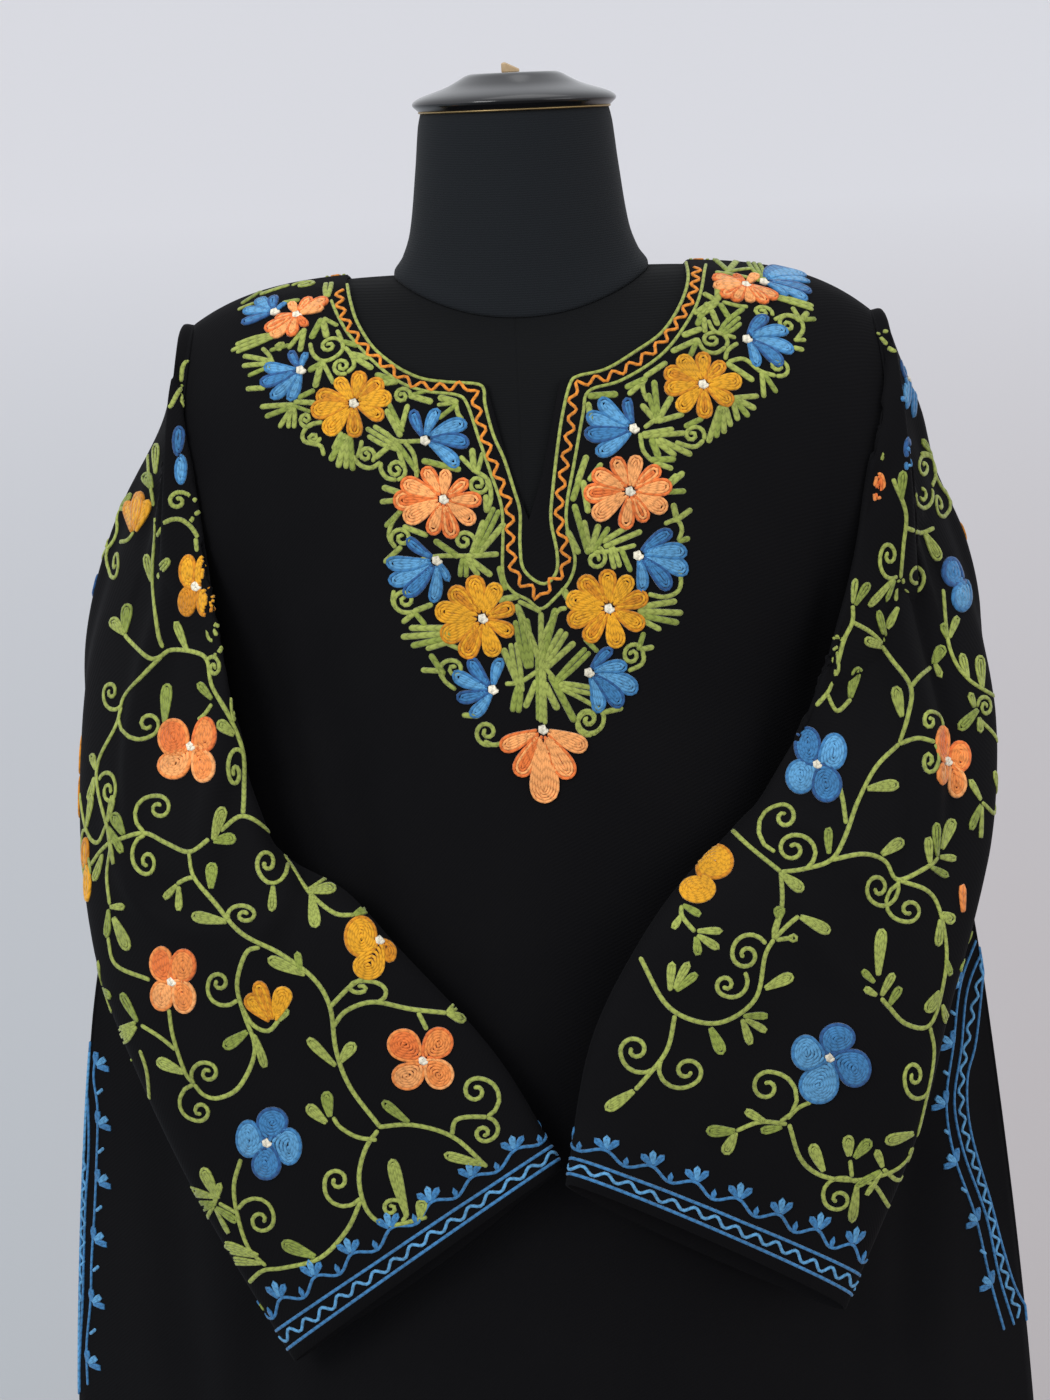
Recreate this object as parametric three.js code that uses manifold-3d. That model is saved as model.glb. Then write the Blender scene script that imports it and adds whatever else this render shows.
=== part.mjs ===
// A long loose pheran worn by a neck-topped dress form on a pole stand.
// Millimetres, +Z up, the front faces -Y. The origin is on the floor, at the centre of the stand's foot.
import * as THREE from 'three';
import { mergeVertices } from 'three/addons/utils/BufferGeometryUtils.js';
import Module from 'manifold-3d';

const wasm = await Module();
wasm.setup();

// Driving dimensions
const wall = 1.6;                 // thickness of the cloth wall
const seamGap = 0.3;              // space left between two pieces at a seam
const ridgeHeight = 1399;         // top of the shoulder ridge above the floor
const shoulderFall = 30;          // how much lower the shoulder tip is than the ridge
const shoulderHalf = 184;         // half width where the shoulder has fallen so far
const armholeDrop = 226;          // underarm point below the ridge
const armholeHalfDepth = 45;      // half of the armhole's front-to-back opening
const hemDrop = 1049;             // hem below the ridge
const neckHalf = 91;              // half width of the neck opening at the ridge
const neckCentre = -2;            // the opening sits a little to one side of the form
const neckFrontDepth = 51;        // depth of the round front neck
const neckBackDepth = 27;         // depth of the shallow back neck
const slitHalf = 19;              // half width of the front slit at its top
const slitLength = 67;            // length of the front slit below the round neck
const slitBend = { half: 8, share: 0.66 };   // where the slit's edges turn in towards its end
const slitEnd = 1.5;              // half width left at the slit's end
const sleeveRise = 6;             // how far a sleeve stands out at once from its armhole seam
const restRoom = 3.8;             // from the front panel's face to a sleeve's where it lies on the panel
const restRound = 10;             // how far from the panel's edge the sleeve starts to lift clear
const formClear = 2.2;            // from the cloth's outer face to the form under it
const formBottomDrop = 609;       // underside of the form below the ridge
const neckTop = 1481;             // top of the form's neck
const neckSeat = 0.65;            // from the form's shoulders to the underside of its neck
const capRadius = 54.5;
const capTop = 1501;              // flat top of the cap
const pegReach = 8;               // size of the peg above the cap, front to back
const poleRadius = 16;
const footRadius = 185;
const footThickness = 12;

const panelColumns = 28;          // steps across the front panel
const panelRows = 30;             // steps from shoulder to hem
const sleeveAround = 24;
const sleeveAlong = 20;

// Body of the garment, from shoulder ridge to hem. drop: below the ridge; depthFront and depthBack: centre line to
// mid plane; half: half width at armhole or side seam; fall: how hollow the flanks are; shift: centre line in x.
const bodyRows = [
  { drop: 0, depthFront: 0, depthBack: 0, half: 181, fall: 1.0, shift: 5 },
  { drop: 4, depthFront: 23, depthBack: 23, half: 182, fall: 1.0, shift: 5 },
  { drop: 16, depthFront: 47, depthBack: 46, half: 184, fall: 1.0, shift: 5 },
  { drop: 45, depthFront: 79, depthBack: 75, half: 187, fall: 1.0, shift: 4 },
  { drop: 100, depthFront: 104, depthBack: 98, half: 191, fall: 1.0, shift: 3 },
  { drop: 160, depthFront: 118, depthBack: 106, half: 197, fall: 1.03, shift: 1 },
  { drop: 226, depthFront: 124, depthBack: 109, half: 210, fall: 1.08, shift: -2 },
  { drop: 310, depthFront: 126, depthBack: 108, half: 232, fall: 1.13, shift: -5 },
  { drop: 420, depthFront: 126, depthBack: 108, half: 252, fall: 1.12, shift: -8 },
  { drop: 640, depthFront: 130, depthBack: 118, half: 274, fall: 1.0, shift: -8 },
  { drop: 1049, depthFront: 150, depthBack: 142, half: 296, fall: 0.9, shift: -6 },
];

// Soft hanging folds of the skirt. across: place from seam to seam, -1 to 1; from: drop where the fold starts.
const frontFolds = [
  { across: -0.74, width: 0.13, height: 15, from: 470 },
  { across: -0.43, width: 0.12, height: 10, from: 640 },
  { across: -0.1, width: 0.12, height: 12, from: 600 },
  { across: 0.27, width: 0.14, height: 14, from: 560 },
  { across: 0.62, width: 0.12, height: 13, from: 500 },
];
const backFolds = [
  { across: -0.68, width: 0.13, height: 16, from: 420 },
  { across: -0.34, width: 0.12, height: 14, from: 330 },
  { across: 0.03, width: 0.13, height: 15, from: 380 },
  { across: 0.36, width: 0.12, height: 13, from: 350 },
  { across: 0.7, width: 0.13, height: 16, from: 440 },
];

// Sections of each sleeve from below the armhole to the cuff, each an ellipse. out, ahead, up: its centre, measured
// outward, forward and up; wide: half axis from the centre to the outer fold; deep: half axis to the front face.
const leftSleeveRows = [
  { out: 199, ahead: 12, up: 1244, wide: [-10, -8, 86], deep: [-18, 50, 0] },
  { out: 199, ahead: 25, up: 1218, wide: [3, -15, 75], deep: [-31, 52, -2] },
  { out: 198, ahead: 35, up: 1191, wide: [19, -18, 60], deep: [-36, 54, -4] },
  { out: 198, ahead: 48, up: 1161, wide: [36, -20, 40], deep: [-34, 54, -6] },
  { out: 196, ahead: 63, up: 1131, wide: [48, -20, 20], deep: [-27, 52, -6] },
  { out: 190, ahead: 82, up: 1097, wide: [58, -18, -4], deep: [-19, 44, -2] },
  { out: 174, ahead: 103, up: 1066, wide: [68, -18, -25], deep: [-9, 34, 3] },
  { out: 152, ahead: 117, up: 1028, wide: [74, -17, -33], deep: [-4, 27, 4] },
  { out: 113, ahead: 128, up: 963, wide: [82, -16, -42], deep: [0, 21, 5] },
  { out: 73, ahead: 133, up: 885, wide: [75, -15, -58], deep: [0, 17, 8] },
];
const rightSleeveRows = [
  { out: 202, ahead: 12, up: 1246, wide: [-4, -8, 89], deep: [-22, 50, 0] },
  { out: 196, ahead: 25, up: 1220, wide: [5, -16, 76], deep: [-30, 52, -2] },
  { out: 188, ahead: 38, up: 1193, wide: [26, -22, 58], deep: [-40, 52, -5] },
  { out: 180, ahead: 54, up: 1162, wide: [48, -25, 36], deep: [-42, 48, -6] },
  { out: 176, ahead: 71, up: 1133, wide: [63, -25, 12], deep: [-34, 44, -4] },
  { out: 165, ahead: 91, up: 1100, wide: [73, -24, -8], deep: [-22, 38, 0] },
  { out: 147, ahead: 112, up: 1069, wide: [78, -22, -23], deep: [-11, 31, 3] },
  { out: 128, ahead: 127, up: 1035, wide: [82, -20, -30], deep: [-5, 26, 5] },
  { out: 106, ahead: 138, up: 982, wide: [87, -20, -35], deep: [0, 22, 7] },
  { out: 76, ahead: 145, up: 893, wide: [74, -21, -47], deep: [0, 17, 11] },
];

// The form under the garment. front and back: depth of its round body; half: half width.
const formRows = [
  { drop: 0, half: 170, front: 160, back: 160 },
  { drop: 3, half: 173, front: 160, back: 160 },
  { drop: 12, half: 176, front: 150, back: 150 },
  { drop: 40, half: 177, front: 140, back: 130 },
  { drop: 90, half: 168, front: 122, back: 112 },
  { drop: 160, half: 152, front: 116, back: 100 },
  { drop: 230, half: 140, front: 108, back: 92 },
  { drop: 340, half: 120, front: 84, back: 76 },
  { drop: 450, half: 146, front: 96, back: 98 },
  { drop: 540, half: 164, front: 104, back: 112 },
  { drop: 609, half: 162, front: 104, back: 108 },
];

// The form's neck, from where it spreads on the shoulders to the cap.
const neckRows = [
  { up: 0, half: 68, front: 60, back: 54 },
  { up: 2.5, half: 67.5, front: 59, back: 53.5 },
  { up: 9, half: 63, front: 54, back: 51 },
  { up: 22, half: 58.5, front: 50, back: 49.5 },
  { up: 55, half: 54, front: 49, back: 49 },
  { up: 78, half: 51.5, front: 49.5, back: 49.5 },
  { up: 84.5, half: 50, front: 49, back: 49 },
];

// A smooth curve through one column of a table, read at a place of its first column.
function column(rows, at, key, place) {
  let k = 0;
  while (k < rows.length - 2 && place > rows[k + 1][at]) k += 1;
  const slope = (i) => {
    const a = rows[Math.max(i - 1, 0)];
    const b = rows[Math.min(i + 1, rows.length - 1)];
    return (b[key] - a[key]) / (b[at] - a[at]);
  };
  const span = rows[k + 1][at] - rows[k][at];
  const t = THREE.MathUtils.clamp((place - rows[k][at]) / span, 0, 1);
  const low = (2 * t ** 3 - 3 * t ** 2 + 1) * rows[k][key] + (t ** 3 - 2 * t ** 2 + t) * span * slope(k);
  return low + (3 * t ** 2 - 2 * t ** 3) * rows[k + 1][key] + (t ** 3 - t ** 2) * span * slope(k + 1);
}

const body = (key, drop) => column(bodyRows, 'drop', key, drop);

function shoulderDip(x, drop) {
  const fade = 1 / (1 + (drop / 120) ** 2);
  return shoulderFall * fade * Math.min(Math.abs(x) / shoulderHalf, 1.05) ** 5;
}

const heightOf = (x, drop) => ridgeHeight - drop - shoulderDip(x, drop);

// The drop of the cloth that is found at a height, under the shoulder's slope.
function dropAt(x, height) {
  let drop = Math.max(ridgeHeight - height, 0);
  for (let k = 0; k < 12; k += 1) drop = Math.max(ridgeHeight - height - shoulderDip(x, drop), 0);
  return drop;
}

// How far an armhole edge stands from the mid plane at a drop: round at the tip, running out at the underarm.
function armholeDepth(drop) {
  const share = THREE.MathUtils.clamp(drop / armholeDrop, 0, 1);
  const fullest = 0.488;
  return (armholeHalfDepth * Math.sqrt(share) * (1 - share ** 2) ** 1.5) / fullest;
}

// Distance of the garment's outer face from the mid plane, at a place across and a drop.
function clothDepth(back, x, drop) {
  const across = Math.min(Math.abs((x - body('shift', drop)) / body('half', drop)), 1);
  const centre = body(back ? 'depthBack' : 'depthFront', drop);
  const edge = Math.min(armholeDepth(drop), centre);
  return edge + (centre - edge) * (1 - across ** 2) ** body('fall', drop);
}

function foldLift(folds, across, drop) {
  let lift = 0;
  for (const fold of folds) {
    const grown = THREE.MathUtils.smoothstep(drop, fold.from, hemDrop);
    lift += fold.height * grown * Math.exp(-(((across - fold.across) / fold.width) ** 2));
  }
  return lift * (1 - across ** 6);
}

function panelPoint(back, across, drop) {
  const x = body('shift', drop) + across * body('half', drop);
  const lift = foldLift(back ? backFolds : frontFolds, across, drop);
  const y = seamGap / 2 + clothDepth(back, x, drop) + lift;
  return new THREE.Vector3(x, back ? y : -y, heightOf(x, drop));
}

function geometryFrom(points, triangles) {
  const geometry = new THREE.BufferGeometry();
  const position = new Float32Array(points.length * 3);
  points.forEach((point, i) => point.toArray(position, i * 3));
  geometry.setAttribute('position', new THREE.BufferAttribute(position, 3));
  geometry.setIndex(triangles);
  return geometry;
}

// Two triangles for each cell of a grid, wound the other way where flip is set.
function gridTriangles(corner, columns, rows, flip) {
  const triangles = [];
  for (let j = 0; j < rows; j += 1) {
    for (let i = 0; i < columns; i += 1) {
      const [a, b, c, d] = [corner(i, j), corner(i + 1, j), corner(i + 1, j + 1), corner(i, j + 1)];
      triangles.push(...(flip ? [a, b, c, a, c, d] : [a, c, b, a, d, c]));
    }
  }
  return triangles;
}

// A front or back panel: its outer face, the same face moved in by the wall, and the four edges between them.
function panelGeometry(back, columns, rows) {
  const drops = Array.from({ length: rows + 1 }, (_, j) => hemDrop * (j / rows) ** 1.75);
  const points = [];
  for (const inner of [false, true]) {
    for (let j = 0; j <= rows; j += 1) {
      for (let i = 0; i <= columns; i += 1) {
        const across = -1 + (2 * i) / columns;
        const point = panelPoint(back, across, drops[j]);
        if (inner) {
          const reach = 0.004;
          const left = panelPoint(back, Math.max(across - reach, -1), drops[j]);
          const right = panelPoint(back, Math.min(across + reach, 1), drops[j]);
          const above = panelPoint(back, across, Math.max(drops[j] - 1.5, 0));
          const below = panelPoint(back, across, Math.min(drops[j] + 1.5, hemDrop));
          const normal = right.sub(left).cross(above.sub(below)).normalize();
          point.addScaledVector(normal, back ? wall : -wall);
          const side = back ? 1 : -1;
          point.y = side * Math.max(side * point.y, seamGap / 2);
        }
        points.push(point);
      }
    }
  }
  const width = columns + 1;
  const skin = width * (rows + 1);
  const outer = (i, j) => j * width + i;
  const inner = (i, j) => skin + j * width + i;
  const triangles = [
    ...gridTriangles(outer, columns, rows, back),
    ...gridTriangles(inner, columns, rows, !back),
    ...gridTriangles((i, j) => (j ? inner(i, 0) : outer(i, 0)), columns, 1, !back),
    ...gridTriangles((i, j) => (j ? inner(i, rows) : outer(i, rows)), columns, 1, back),
    ...gridTriangles((i, j) => (j ? inner(0, i) : outer(0, i)), rows, 1, back),
    ...gridTriangles((i, j) => (j ? inner(columns, i) : outer(columns, i)), rows, 1, !back),
  ];
  return geometryFrom(points, triangles);
}

function toSolid(geometry) {
  const bare = geometry.index ? geometry.toNonIndexed() : geometry.clone();
  bare.deleteAttribute('normal');
  bare.deleteAttribute('uv');
  const merged = mergeVertices(bare, 1e-4);
  const mesh = new wasm.Mesh({
    numProp: 3,
    vertProperties: merged.attributes.position.array,
    triVerts: Uint32Array.from(merged.index.array),
  });
  return new wasm.Manifold(mesh);
}

function fromSolid(solid) {
  const { vertProperties, triVerts } = solid.getMesh();
  const geometry = new THREE.BufferGeometry();
  geometry.setAttribute('position', new THREE.BufferAttribute(Float32Array.from(vertProperties), 3));
  geometry.setIndex(Array.from(triVerts));
  return geometry;
}

// Half the neck opening at a depth below the ridge: a flattened oval.
function neckOutline(depth, slit) {
  const outline = [];
  const steps = 14;
  for (let k = 0; k <= steps; k += 1) {
    const turn = (Math.PI / 2) * (k / steps);
    const x = neckHalf * Math.cos(turn) ** 0.82;
    if (!slit || x > slitHalf) outline.push([x, ridgeHeight - depth * Math.sin(turn) ** 0.9]);
  }
  if (slit) {
    outline.push([slitHalf, ridgeHeight - depth]);
    outline.push([slitBend.half, ridgeHeight - depth - slitLength * slitBend.share]);
    outline.push([slitEnd, ridgeHeight - depth - slitLength]);
  }
  return outline;
}

function neckCutter(back) {
  const half = neckOutline(back ? neckBackDepth : neckFrontDepth, !back);
  const reach = 200;
  const shape = new THREE.Shape();
  shape.moveTo(neckCentre + neckHalf, ridgeHeight + reach);
  half.forEach(([x, z]) => shape.lineTo(neckCentre + x, z));
  [...half].reverse().forEach(([x, z]) => shape.lineTo(neckCentre - x, z));
  shape.lineTo(neckCentre - neckHalf, ridgeHeight + reach);
  const cutter = new THREE.ExtrudeGeometry(shape, { depth: reach, bevelEnabled: false });
  cutter.rotateX(Math.PI / 2);
  if (back) cutter.translate(0, reach, 0);
  return toSolid(cutter);
}

function cutPanel(back, columns, rows) {
  return fromSolid(toSolid(panelGeometry(back, columns, rows)).subtract(neckCutter(back)));
}

// A point of the armhole edge, from the shoulder tip round the front, the underarm and the back.
function armholePoint(side, turn) {
  const drop = (armholeDrop * (1 - Math.cos(turn))) / 2;
  const x = body('shift', drop) + side * (body('half', drop) + seamGap * 1.5);
  return new THREE.Vector3(x, -armholeDepth(drop) * Math.sign(Math.sin(turn)), heightOf(x, drop));
}

// The sleeve lies on the front panel and stays just clear of it, also where its front half rounds the panel's edge.
function clearOfFront(point, side, frontHalf) {
  const drop = dropAt(point.x, point.z);
  const inside = body('half', drop) - side * (point.x - body('shift', drop));
  const margin = frontHalf ? restRound : 0;
  if (inside <= -margin) return point;
  const room = restRoom * THREE.MathUtils.smoothstep(inside, -margin, restRound);
  point.y = Math.min(point.y, -clothDepth(false, point.x, drop) - room);
  return point;
}

function sleeveRings(side, rows) {
  const isFront = (i) => i > 0 && i <= (sleeveAround * 7) / 12;
  const rings = [];
  const curves = [];
  for (let i = 0; i < sleeveAround; i += 1) {
    const turn = (2 * Math.PI * i) / sleeveAround;
    const seam = armholePoint(side, turn);
    const rise = new THREE.Vector3(side, -Math.sin(turn), 0).multiplyScalar(sleeveRise);
    const knots = [seam, seam.clone().add(rise)];
    for (const row of rows) {
      const place = (k, lead) => lead + row.wide[k] * Math.cos(turn) + row.deep[k] * Math.sin(turn);
      const point = new THREE.Vector3(side * place(0, row.out), -place(1, row.ahead), place(2, row.up));
      knots.push(clearOfFront(point, side, isFront(i)));
    }
    curves.push(new THREE.CatmullRomCurve3(knots, false, 'centripetal'));
  }
  for (let j = 0; j <= sleeveAlong; j += 1) {
    const ring = curves.map((curve) => curve.getPoint((j / sleeveAlong) ** 1.25));
    rings.push(j ? ring.map((point, i) => clearOfFront(point, side, isFront(i))) : ring);
  }
  return rings;
}

// A tube of rings with a wall moved in from its outer face, open at both ends.
function tubeGeometry(rings, flip) {
  const around = rings[0].length;
  const last = rings.length - 1;
  const points = rings.flat();
  rings.forEach((ring, j) => {
    ring.forEach((point, i) => {
      const next = ring[(i + 1) % around].clone().sub(ring[(i + around - 1) % around]);
      const along = rings[Math.min(j + 1, last)][i].clone().sub(rings[Math.max(j - 1, 0)][i]);
      const normal = next.cross(along);
      if (j === 0) normal.x = 0;
      normal.normalize();
      points.push(point.clone().addScaledVector(normal, flip ? wall : -wall));
    });
  });
  const skin = around * rings.length;
  const outer = (i, j) => j * around + (i % around);
  const inner = (i, j) => skin + outer(i, j);
  const triangles = [
    ...gridTriangles(outer, around, last, !flip),
    ...gridTriangles(inner, around, last, flip),
    ...gridTriangles((i, j) => (j ? inner(i, 0) : outer(i, 0)), around, 1, flip),
    ...gridTriangles((i, j) => (j ? inner(i, last) : outer(i, last)), around, 1, !flip),
  ];
  return geometryFrom(points, triangles);
}

// Distance of the form's skin from the mid plane: its own round body, or just under the cloth where that is less.
function formDepth(back, x, drop) {
  const row = (key) => column(formRows, 'drop', key, drop);
  const across = Math.min(Math.abs(x) / row('half'), 1);
  const round = row(back ? 'back' : 'front') * (1 - across ** 2.3) ** 0.5;
  const under = clothDepth(back, x, drop) - formClear * Math.min(drop / 4, 1);
  const sideRound = (1 - across ** 10) ** 0.5;
  return Math.max(Math.min(round, under * sideRound), 0);
}

const formHeight = (x, drop) => heightOf(Math.abs(x) + 3, drop) - formClear;

// Rings joined in order, closed by a fan at the first and the last.
function loftGeometry(rings, first, last) {
  const around = rings[0].length;
  const points = [...rings.flat(), first, last];
  const corner = (i, j) => j * around + (i % around);
  const triangles = gridTriangles(corner, around, rings.length - 1, true);
  const [firstIndex, lastIndex] = [points.length - 2, points.length - 1];
  for (let i = 0; i < around; i += 1) {
    triangles.push(firstIndex, corner(i + 1, 0), corner(i, 0));
    triangles.push(lastIndex, corner(i, rings.length - 1), corner(i + 1, rings.length - 1));
  }
  return geometryFrom(points, triangles);
}

// The form's body: front and back share the shoulder ridge, the flanks and a flat underside.
function torsoGeometry() {
  const columns = 26;
  const rows = 24;
  const skins = [false, true].map((back) => (i, j) => {
    const drop = formBottomDrop * (j / rows) ** 1.7;
    const across = Math.sin((Math.PI / 2) * (-1 + (2 * i) / columns));
    const x = across * column(formRows, 'drop', 'half', drop);
    const y = formDepth(back, x, drop);
    return new THREE.Vector3(x, back ? y : -y, formHeight(x, drop));
  });
  const points = [];
  const cornerOf = [];
  for (const skin of skins) {
    const base = points.length;
    cornerOf.push((i, j) => base + j * (columns + 1) + i);
    for (let j = 0; j <= rows; j += 1) {
      for (let i = 0; i <= columns; i += 1) points.push(skin(i, j));
    }
  }
  const triangles = [
    ...gridTriangles(cornerOf[0], columns, rows, false),
    ...gridTriangles(cornerOf[1], columns, rows, true),
    ...gridTriangles((i, j) => cornerOf[j](i, rows), columns, 1, false),
  ];
  const geometry = geometryFrom(points, triangles);
  return mergeVertices(geometry, 1e-3);
}

// Height of the form's shoulders under a place of the neck.
function shoulderHeight(x, y) {
  let [low, high] = [0, 140];
  for (let k = 0; k < 30; k += 1) {
    const middle = (low + high) / 2;
    if (formDepth(y > 0, x, middle) < Math.abs(y)) low = middle;
    else high = middle;
  }
  return formHeight(x, low);
}

function neckGeometry() {
  const around = 36;
  const ringAt = (row, scale) => Array.from({ length: around }, (_, i) => {
    const turn = (2 * Math.PI * i) / around;
    const x = scale * row.half * Math.cos(turn);
    const y = scale * (Math.sin(turn) > 0 ? row.back : row.front) * Math.sin(turn);
    const seat = shoulderHeight(x, y) + neckSeat;
    const rise = row.up / neckRows[neckRows.length - 1].up;
    return new THREE.Vector3(x, y, seat + (neckTop - seat) * rise);
  });
  const under = [0.2, 0.4, 0.6, 0.8].map((scale) => ringAt(neckRows[0], scale));
  const rings = [...under, ...neckRows.map((row) => ringAt(row, 1))];
  const seat = new THREE.Vector3(0, 0, shoulderHeight(0, 0) + neckSeat);
  return loftGeometry(rings, seat, new THREE.Vector3(0, 0, neckTop));
}

function latheGeometry(profile, segments) {
  const lathe = new THREE.LatheGeometry(profile.map(([r, z]) => new THREE.Vector2(r, z)), segments);
  lathe.rotateX(Math.PI / 2);
  return fromSolid(toSolid(lathe));
}

function capGeometry() {
  const base = neckTop + seamGap;
  return latheGeometry([
    [0, base], [capRadius - 4, base], [capRadius - 1.2, base + 1], [capRadius, base + 3.5],
    [capRadius - 1, base + 6.3], [capRadius - 6, base + 9], [capRadius - 18, base + 13],
    [30, base + 16.5], [24, capTop - 0.6], [20, capTop], [0, capTop],
  ], 40);
}

// The sawn end of the inner post, cut at a slant, showing above the cap.
function knobGeometry() {
  const shape = new THREE.Shape();
  shape.moveTo(-5, 0);
  shape.lineTo(4.5, 0);
  shape.lineTo(4.5, 1.2);
  shape.lineTo(-3.2, 5);
  shape.lineTo(-5, 4.4);
  const peg = new THREE.ExtrudeGeometry(shape, { depth: pegReach, bevelEnabled: false });
  peg.rotateX(Math.PI / 2);
  peg.translate(-1, pegReach / 2, 0);
  return fromSolid(toSolid(peg));
}

function poleGeometry() {
  const top = ridgeHeight - formBottomDrop - formClear - seamGap;
  const bottom = footThickness + seamGap;
  return latheGeometry([[0, bottom], [poleRadius, bottom], [poleRadius, top], [0, top]], 28);
}

function footGeometry() {
  const edge = 3;
  return latheGeometry([
    [0, 0], [footRadius - edge, 0], [footRadius, edge], [footRadius, footThickness - edge],
    [footRadius - edge, footThickness], [0, footThickness],
  ], 48);
}

const blackCloth = { color: 0x0e0f11, roughness: 0.92, metalness: 0 };
const formJersey = { color: 0x16181b, roughness: 0.85, metalness: 0 };
const glossCap = { color: 0x08080a, roughness: 0.18, metalness: 0 };
const bareWood = { color: 0xc9a878, roughness: 0.7, metalness: 0 };
const steelTube = { color: 0x2a2b2d, roughness: 0.35, metalness: 0.8 };
const paintedSteel = { color: 0x1c1d1f, roughness: 0.45, metalness: 0.6 };

function addPiece(parent, name, geometry, finish) {
  const mesh = new THREE.Mesh(geometry, new THREE.MeshStandardMaterial(finish));
  mesh.name = name;
  parent.add(mesh);
  return mesh;
}

const pheran = new THREE.Group();
const garment = new THREE.Group();
const form = new THREE.Group();
pheran.add(garment, form);

addPiece(garment, 'front_panel', cutPanel(false, panelColumns, panelRows), blackCloth);
addPiece(garment, 'back_panel', cutPanel(true, panelColumns - 4, panelRows - 4), blackCloth);
addPiece(garment, 'sleeve_left', tubeGeometry(sleeveRings(-1, leftSleeveRows), false), blackCloth);
addPiece(garment, 'sleeve_right', tubeGeometry(sleeveRings(1, rightSleeveRows), true), blackCloth);
addPiece(form, 'form_torso', torsoGeometry(), formJersey);
addPiece(form, 'form_neck', neckGeometry(), formJersey);
addPiece(form, 'form_cap', capGeometry(), glossCap);
const knob = addPiece(form, 'cap_knob', knobGeometry(), bareWood);
knob.position.set(0, 0, capTop + seamGap);
addPiece(form, 'stand_pole', poleGeometry(), steelTube);
addPiece(form, 'stand_base', footGeometry(), paintedSteel);

export default pheran;
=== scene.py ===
import bmesh
import bpy
import numpy as np
from mathutils import Matrix


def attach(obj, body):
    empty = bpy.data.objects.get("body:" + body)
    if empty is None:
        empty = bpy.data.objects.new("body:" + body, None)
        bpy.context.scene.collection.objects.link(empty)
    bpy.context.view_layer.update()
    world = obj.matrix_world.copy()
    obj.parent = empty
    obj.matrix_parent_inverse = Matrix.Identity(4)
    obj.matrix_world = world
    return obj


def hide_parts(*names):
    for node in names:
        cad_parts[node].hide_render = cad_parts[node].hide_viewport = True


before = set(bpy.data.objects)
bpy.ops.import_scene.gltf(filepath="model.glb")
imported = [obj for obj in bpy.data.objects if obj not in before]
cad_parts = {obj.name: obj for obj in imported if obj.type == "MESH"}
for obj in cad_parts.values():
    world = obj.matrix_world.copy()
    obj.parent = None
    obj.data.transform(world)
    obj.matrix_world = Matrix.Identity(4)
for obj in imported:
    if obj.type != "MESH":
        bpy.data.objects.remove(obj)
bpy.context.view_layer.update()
scene = bpy.context.scene
print("frame loaded:", len(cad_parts), "nodes")

# Shapes are worked out in millimetres, +Z up, the front facing -Y, and made metres as a mesh is written.
mm = 0.001
seamGap = 0.3
clothWall = 1.6

# The camera, sizes in mm, turns in degrees.
view = {"target": np.array([-8.0, 0.0, 1160.0]), "distance": 2000.0, "pitch": 13.5, "roll": 2.5,
        "imageWidth": 1050, "imageHeight": 1400, "focal": 3636.0, "sensor": 36.0}


def cameraAxes():
    # right, up and forward: level axes pitched down, then rolled about the line of sight
    p, r = np.radians([view["pitch"], view["roll"]])
    forward = np.array([0, np.cos(p), -np.sin(p)])
    levelUp = np.array([0, np.sin(p), np.cos(p)])
    levelRight = np.array([1.0, 0, 0])
    right = levelRight * np.cos(r) - levelUp * np.sin(r)
    up = levelUp * np.cos(r) + levelRight * np.sin(r)
    return right, up, forward


def makeCamera():
    right, up, forward = cameraAxes()
    place = view["target"] - forward * view["distance"]
    data = bpy.data.cameras.new("camera")
    data.sensor_fit = "VERTICAL"
    data.sensor_height = view["sensor"]
    data.lens = view["sensor"] * view["focal"] / view["imageHeight"]
    data.clip_end = 100
    camera = bpy.data.objects.new("camera", data)
    scene.collection.objects.link(camera)
    matrix = np.eye(4)
    matrix[:3, 0], matrix[:3, 1], matrix[:3, 2], matrix[:3, 3] = right, up, -forward, place * mm
    camera.matrix_world = Matrix(matrix.tolist())
    scene.camera = camera
    return place


cameraPlace = makeCamera()


def toPixel(points):
    # distance from the camera along its three axes, divided by the depth
    right, up, forward = cameraAxes()
    away = points - cameraPlace
    depth = away @ forward
    x = view["imageWidth"] / 2 + view["focal"] * (away @ right) / depth
    y = view["imageHeight"] / 2 - view["focal"] * (away @ up) / depth
    return np.stack([x, y], -1)


# Cut and hang of the garment, in mm: widths and depths by drop below the shoulder ridge.
cut = {
    "ridgeHeight": 1399.0, "shoulderFall": 30.0, "shoulderHalf": 184.0, "armholeDrop": 226.0,
    "armholeHalfDepth": 45.0, "hemDrop": 1049.0, "neckHalf": 91.0, "neckCentre": -2.0,
    "neckFrontDepth": 51.0, "neckBackDepth": 27.0, "slitHalf": 19.0, "slitBendHalf": 8.0,
    "slitBendShare": 0.66, "slitLength": 67.0, "sleeveRise": 6.0, "restRoom": 3.8, "restRound": 10.0,
}

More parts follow.
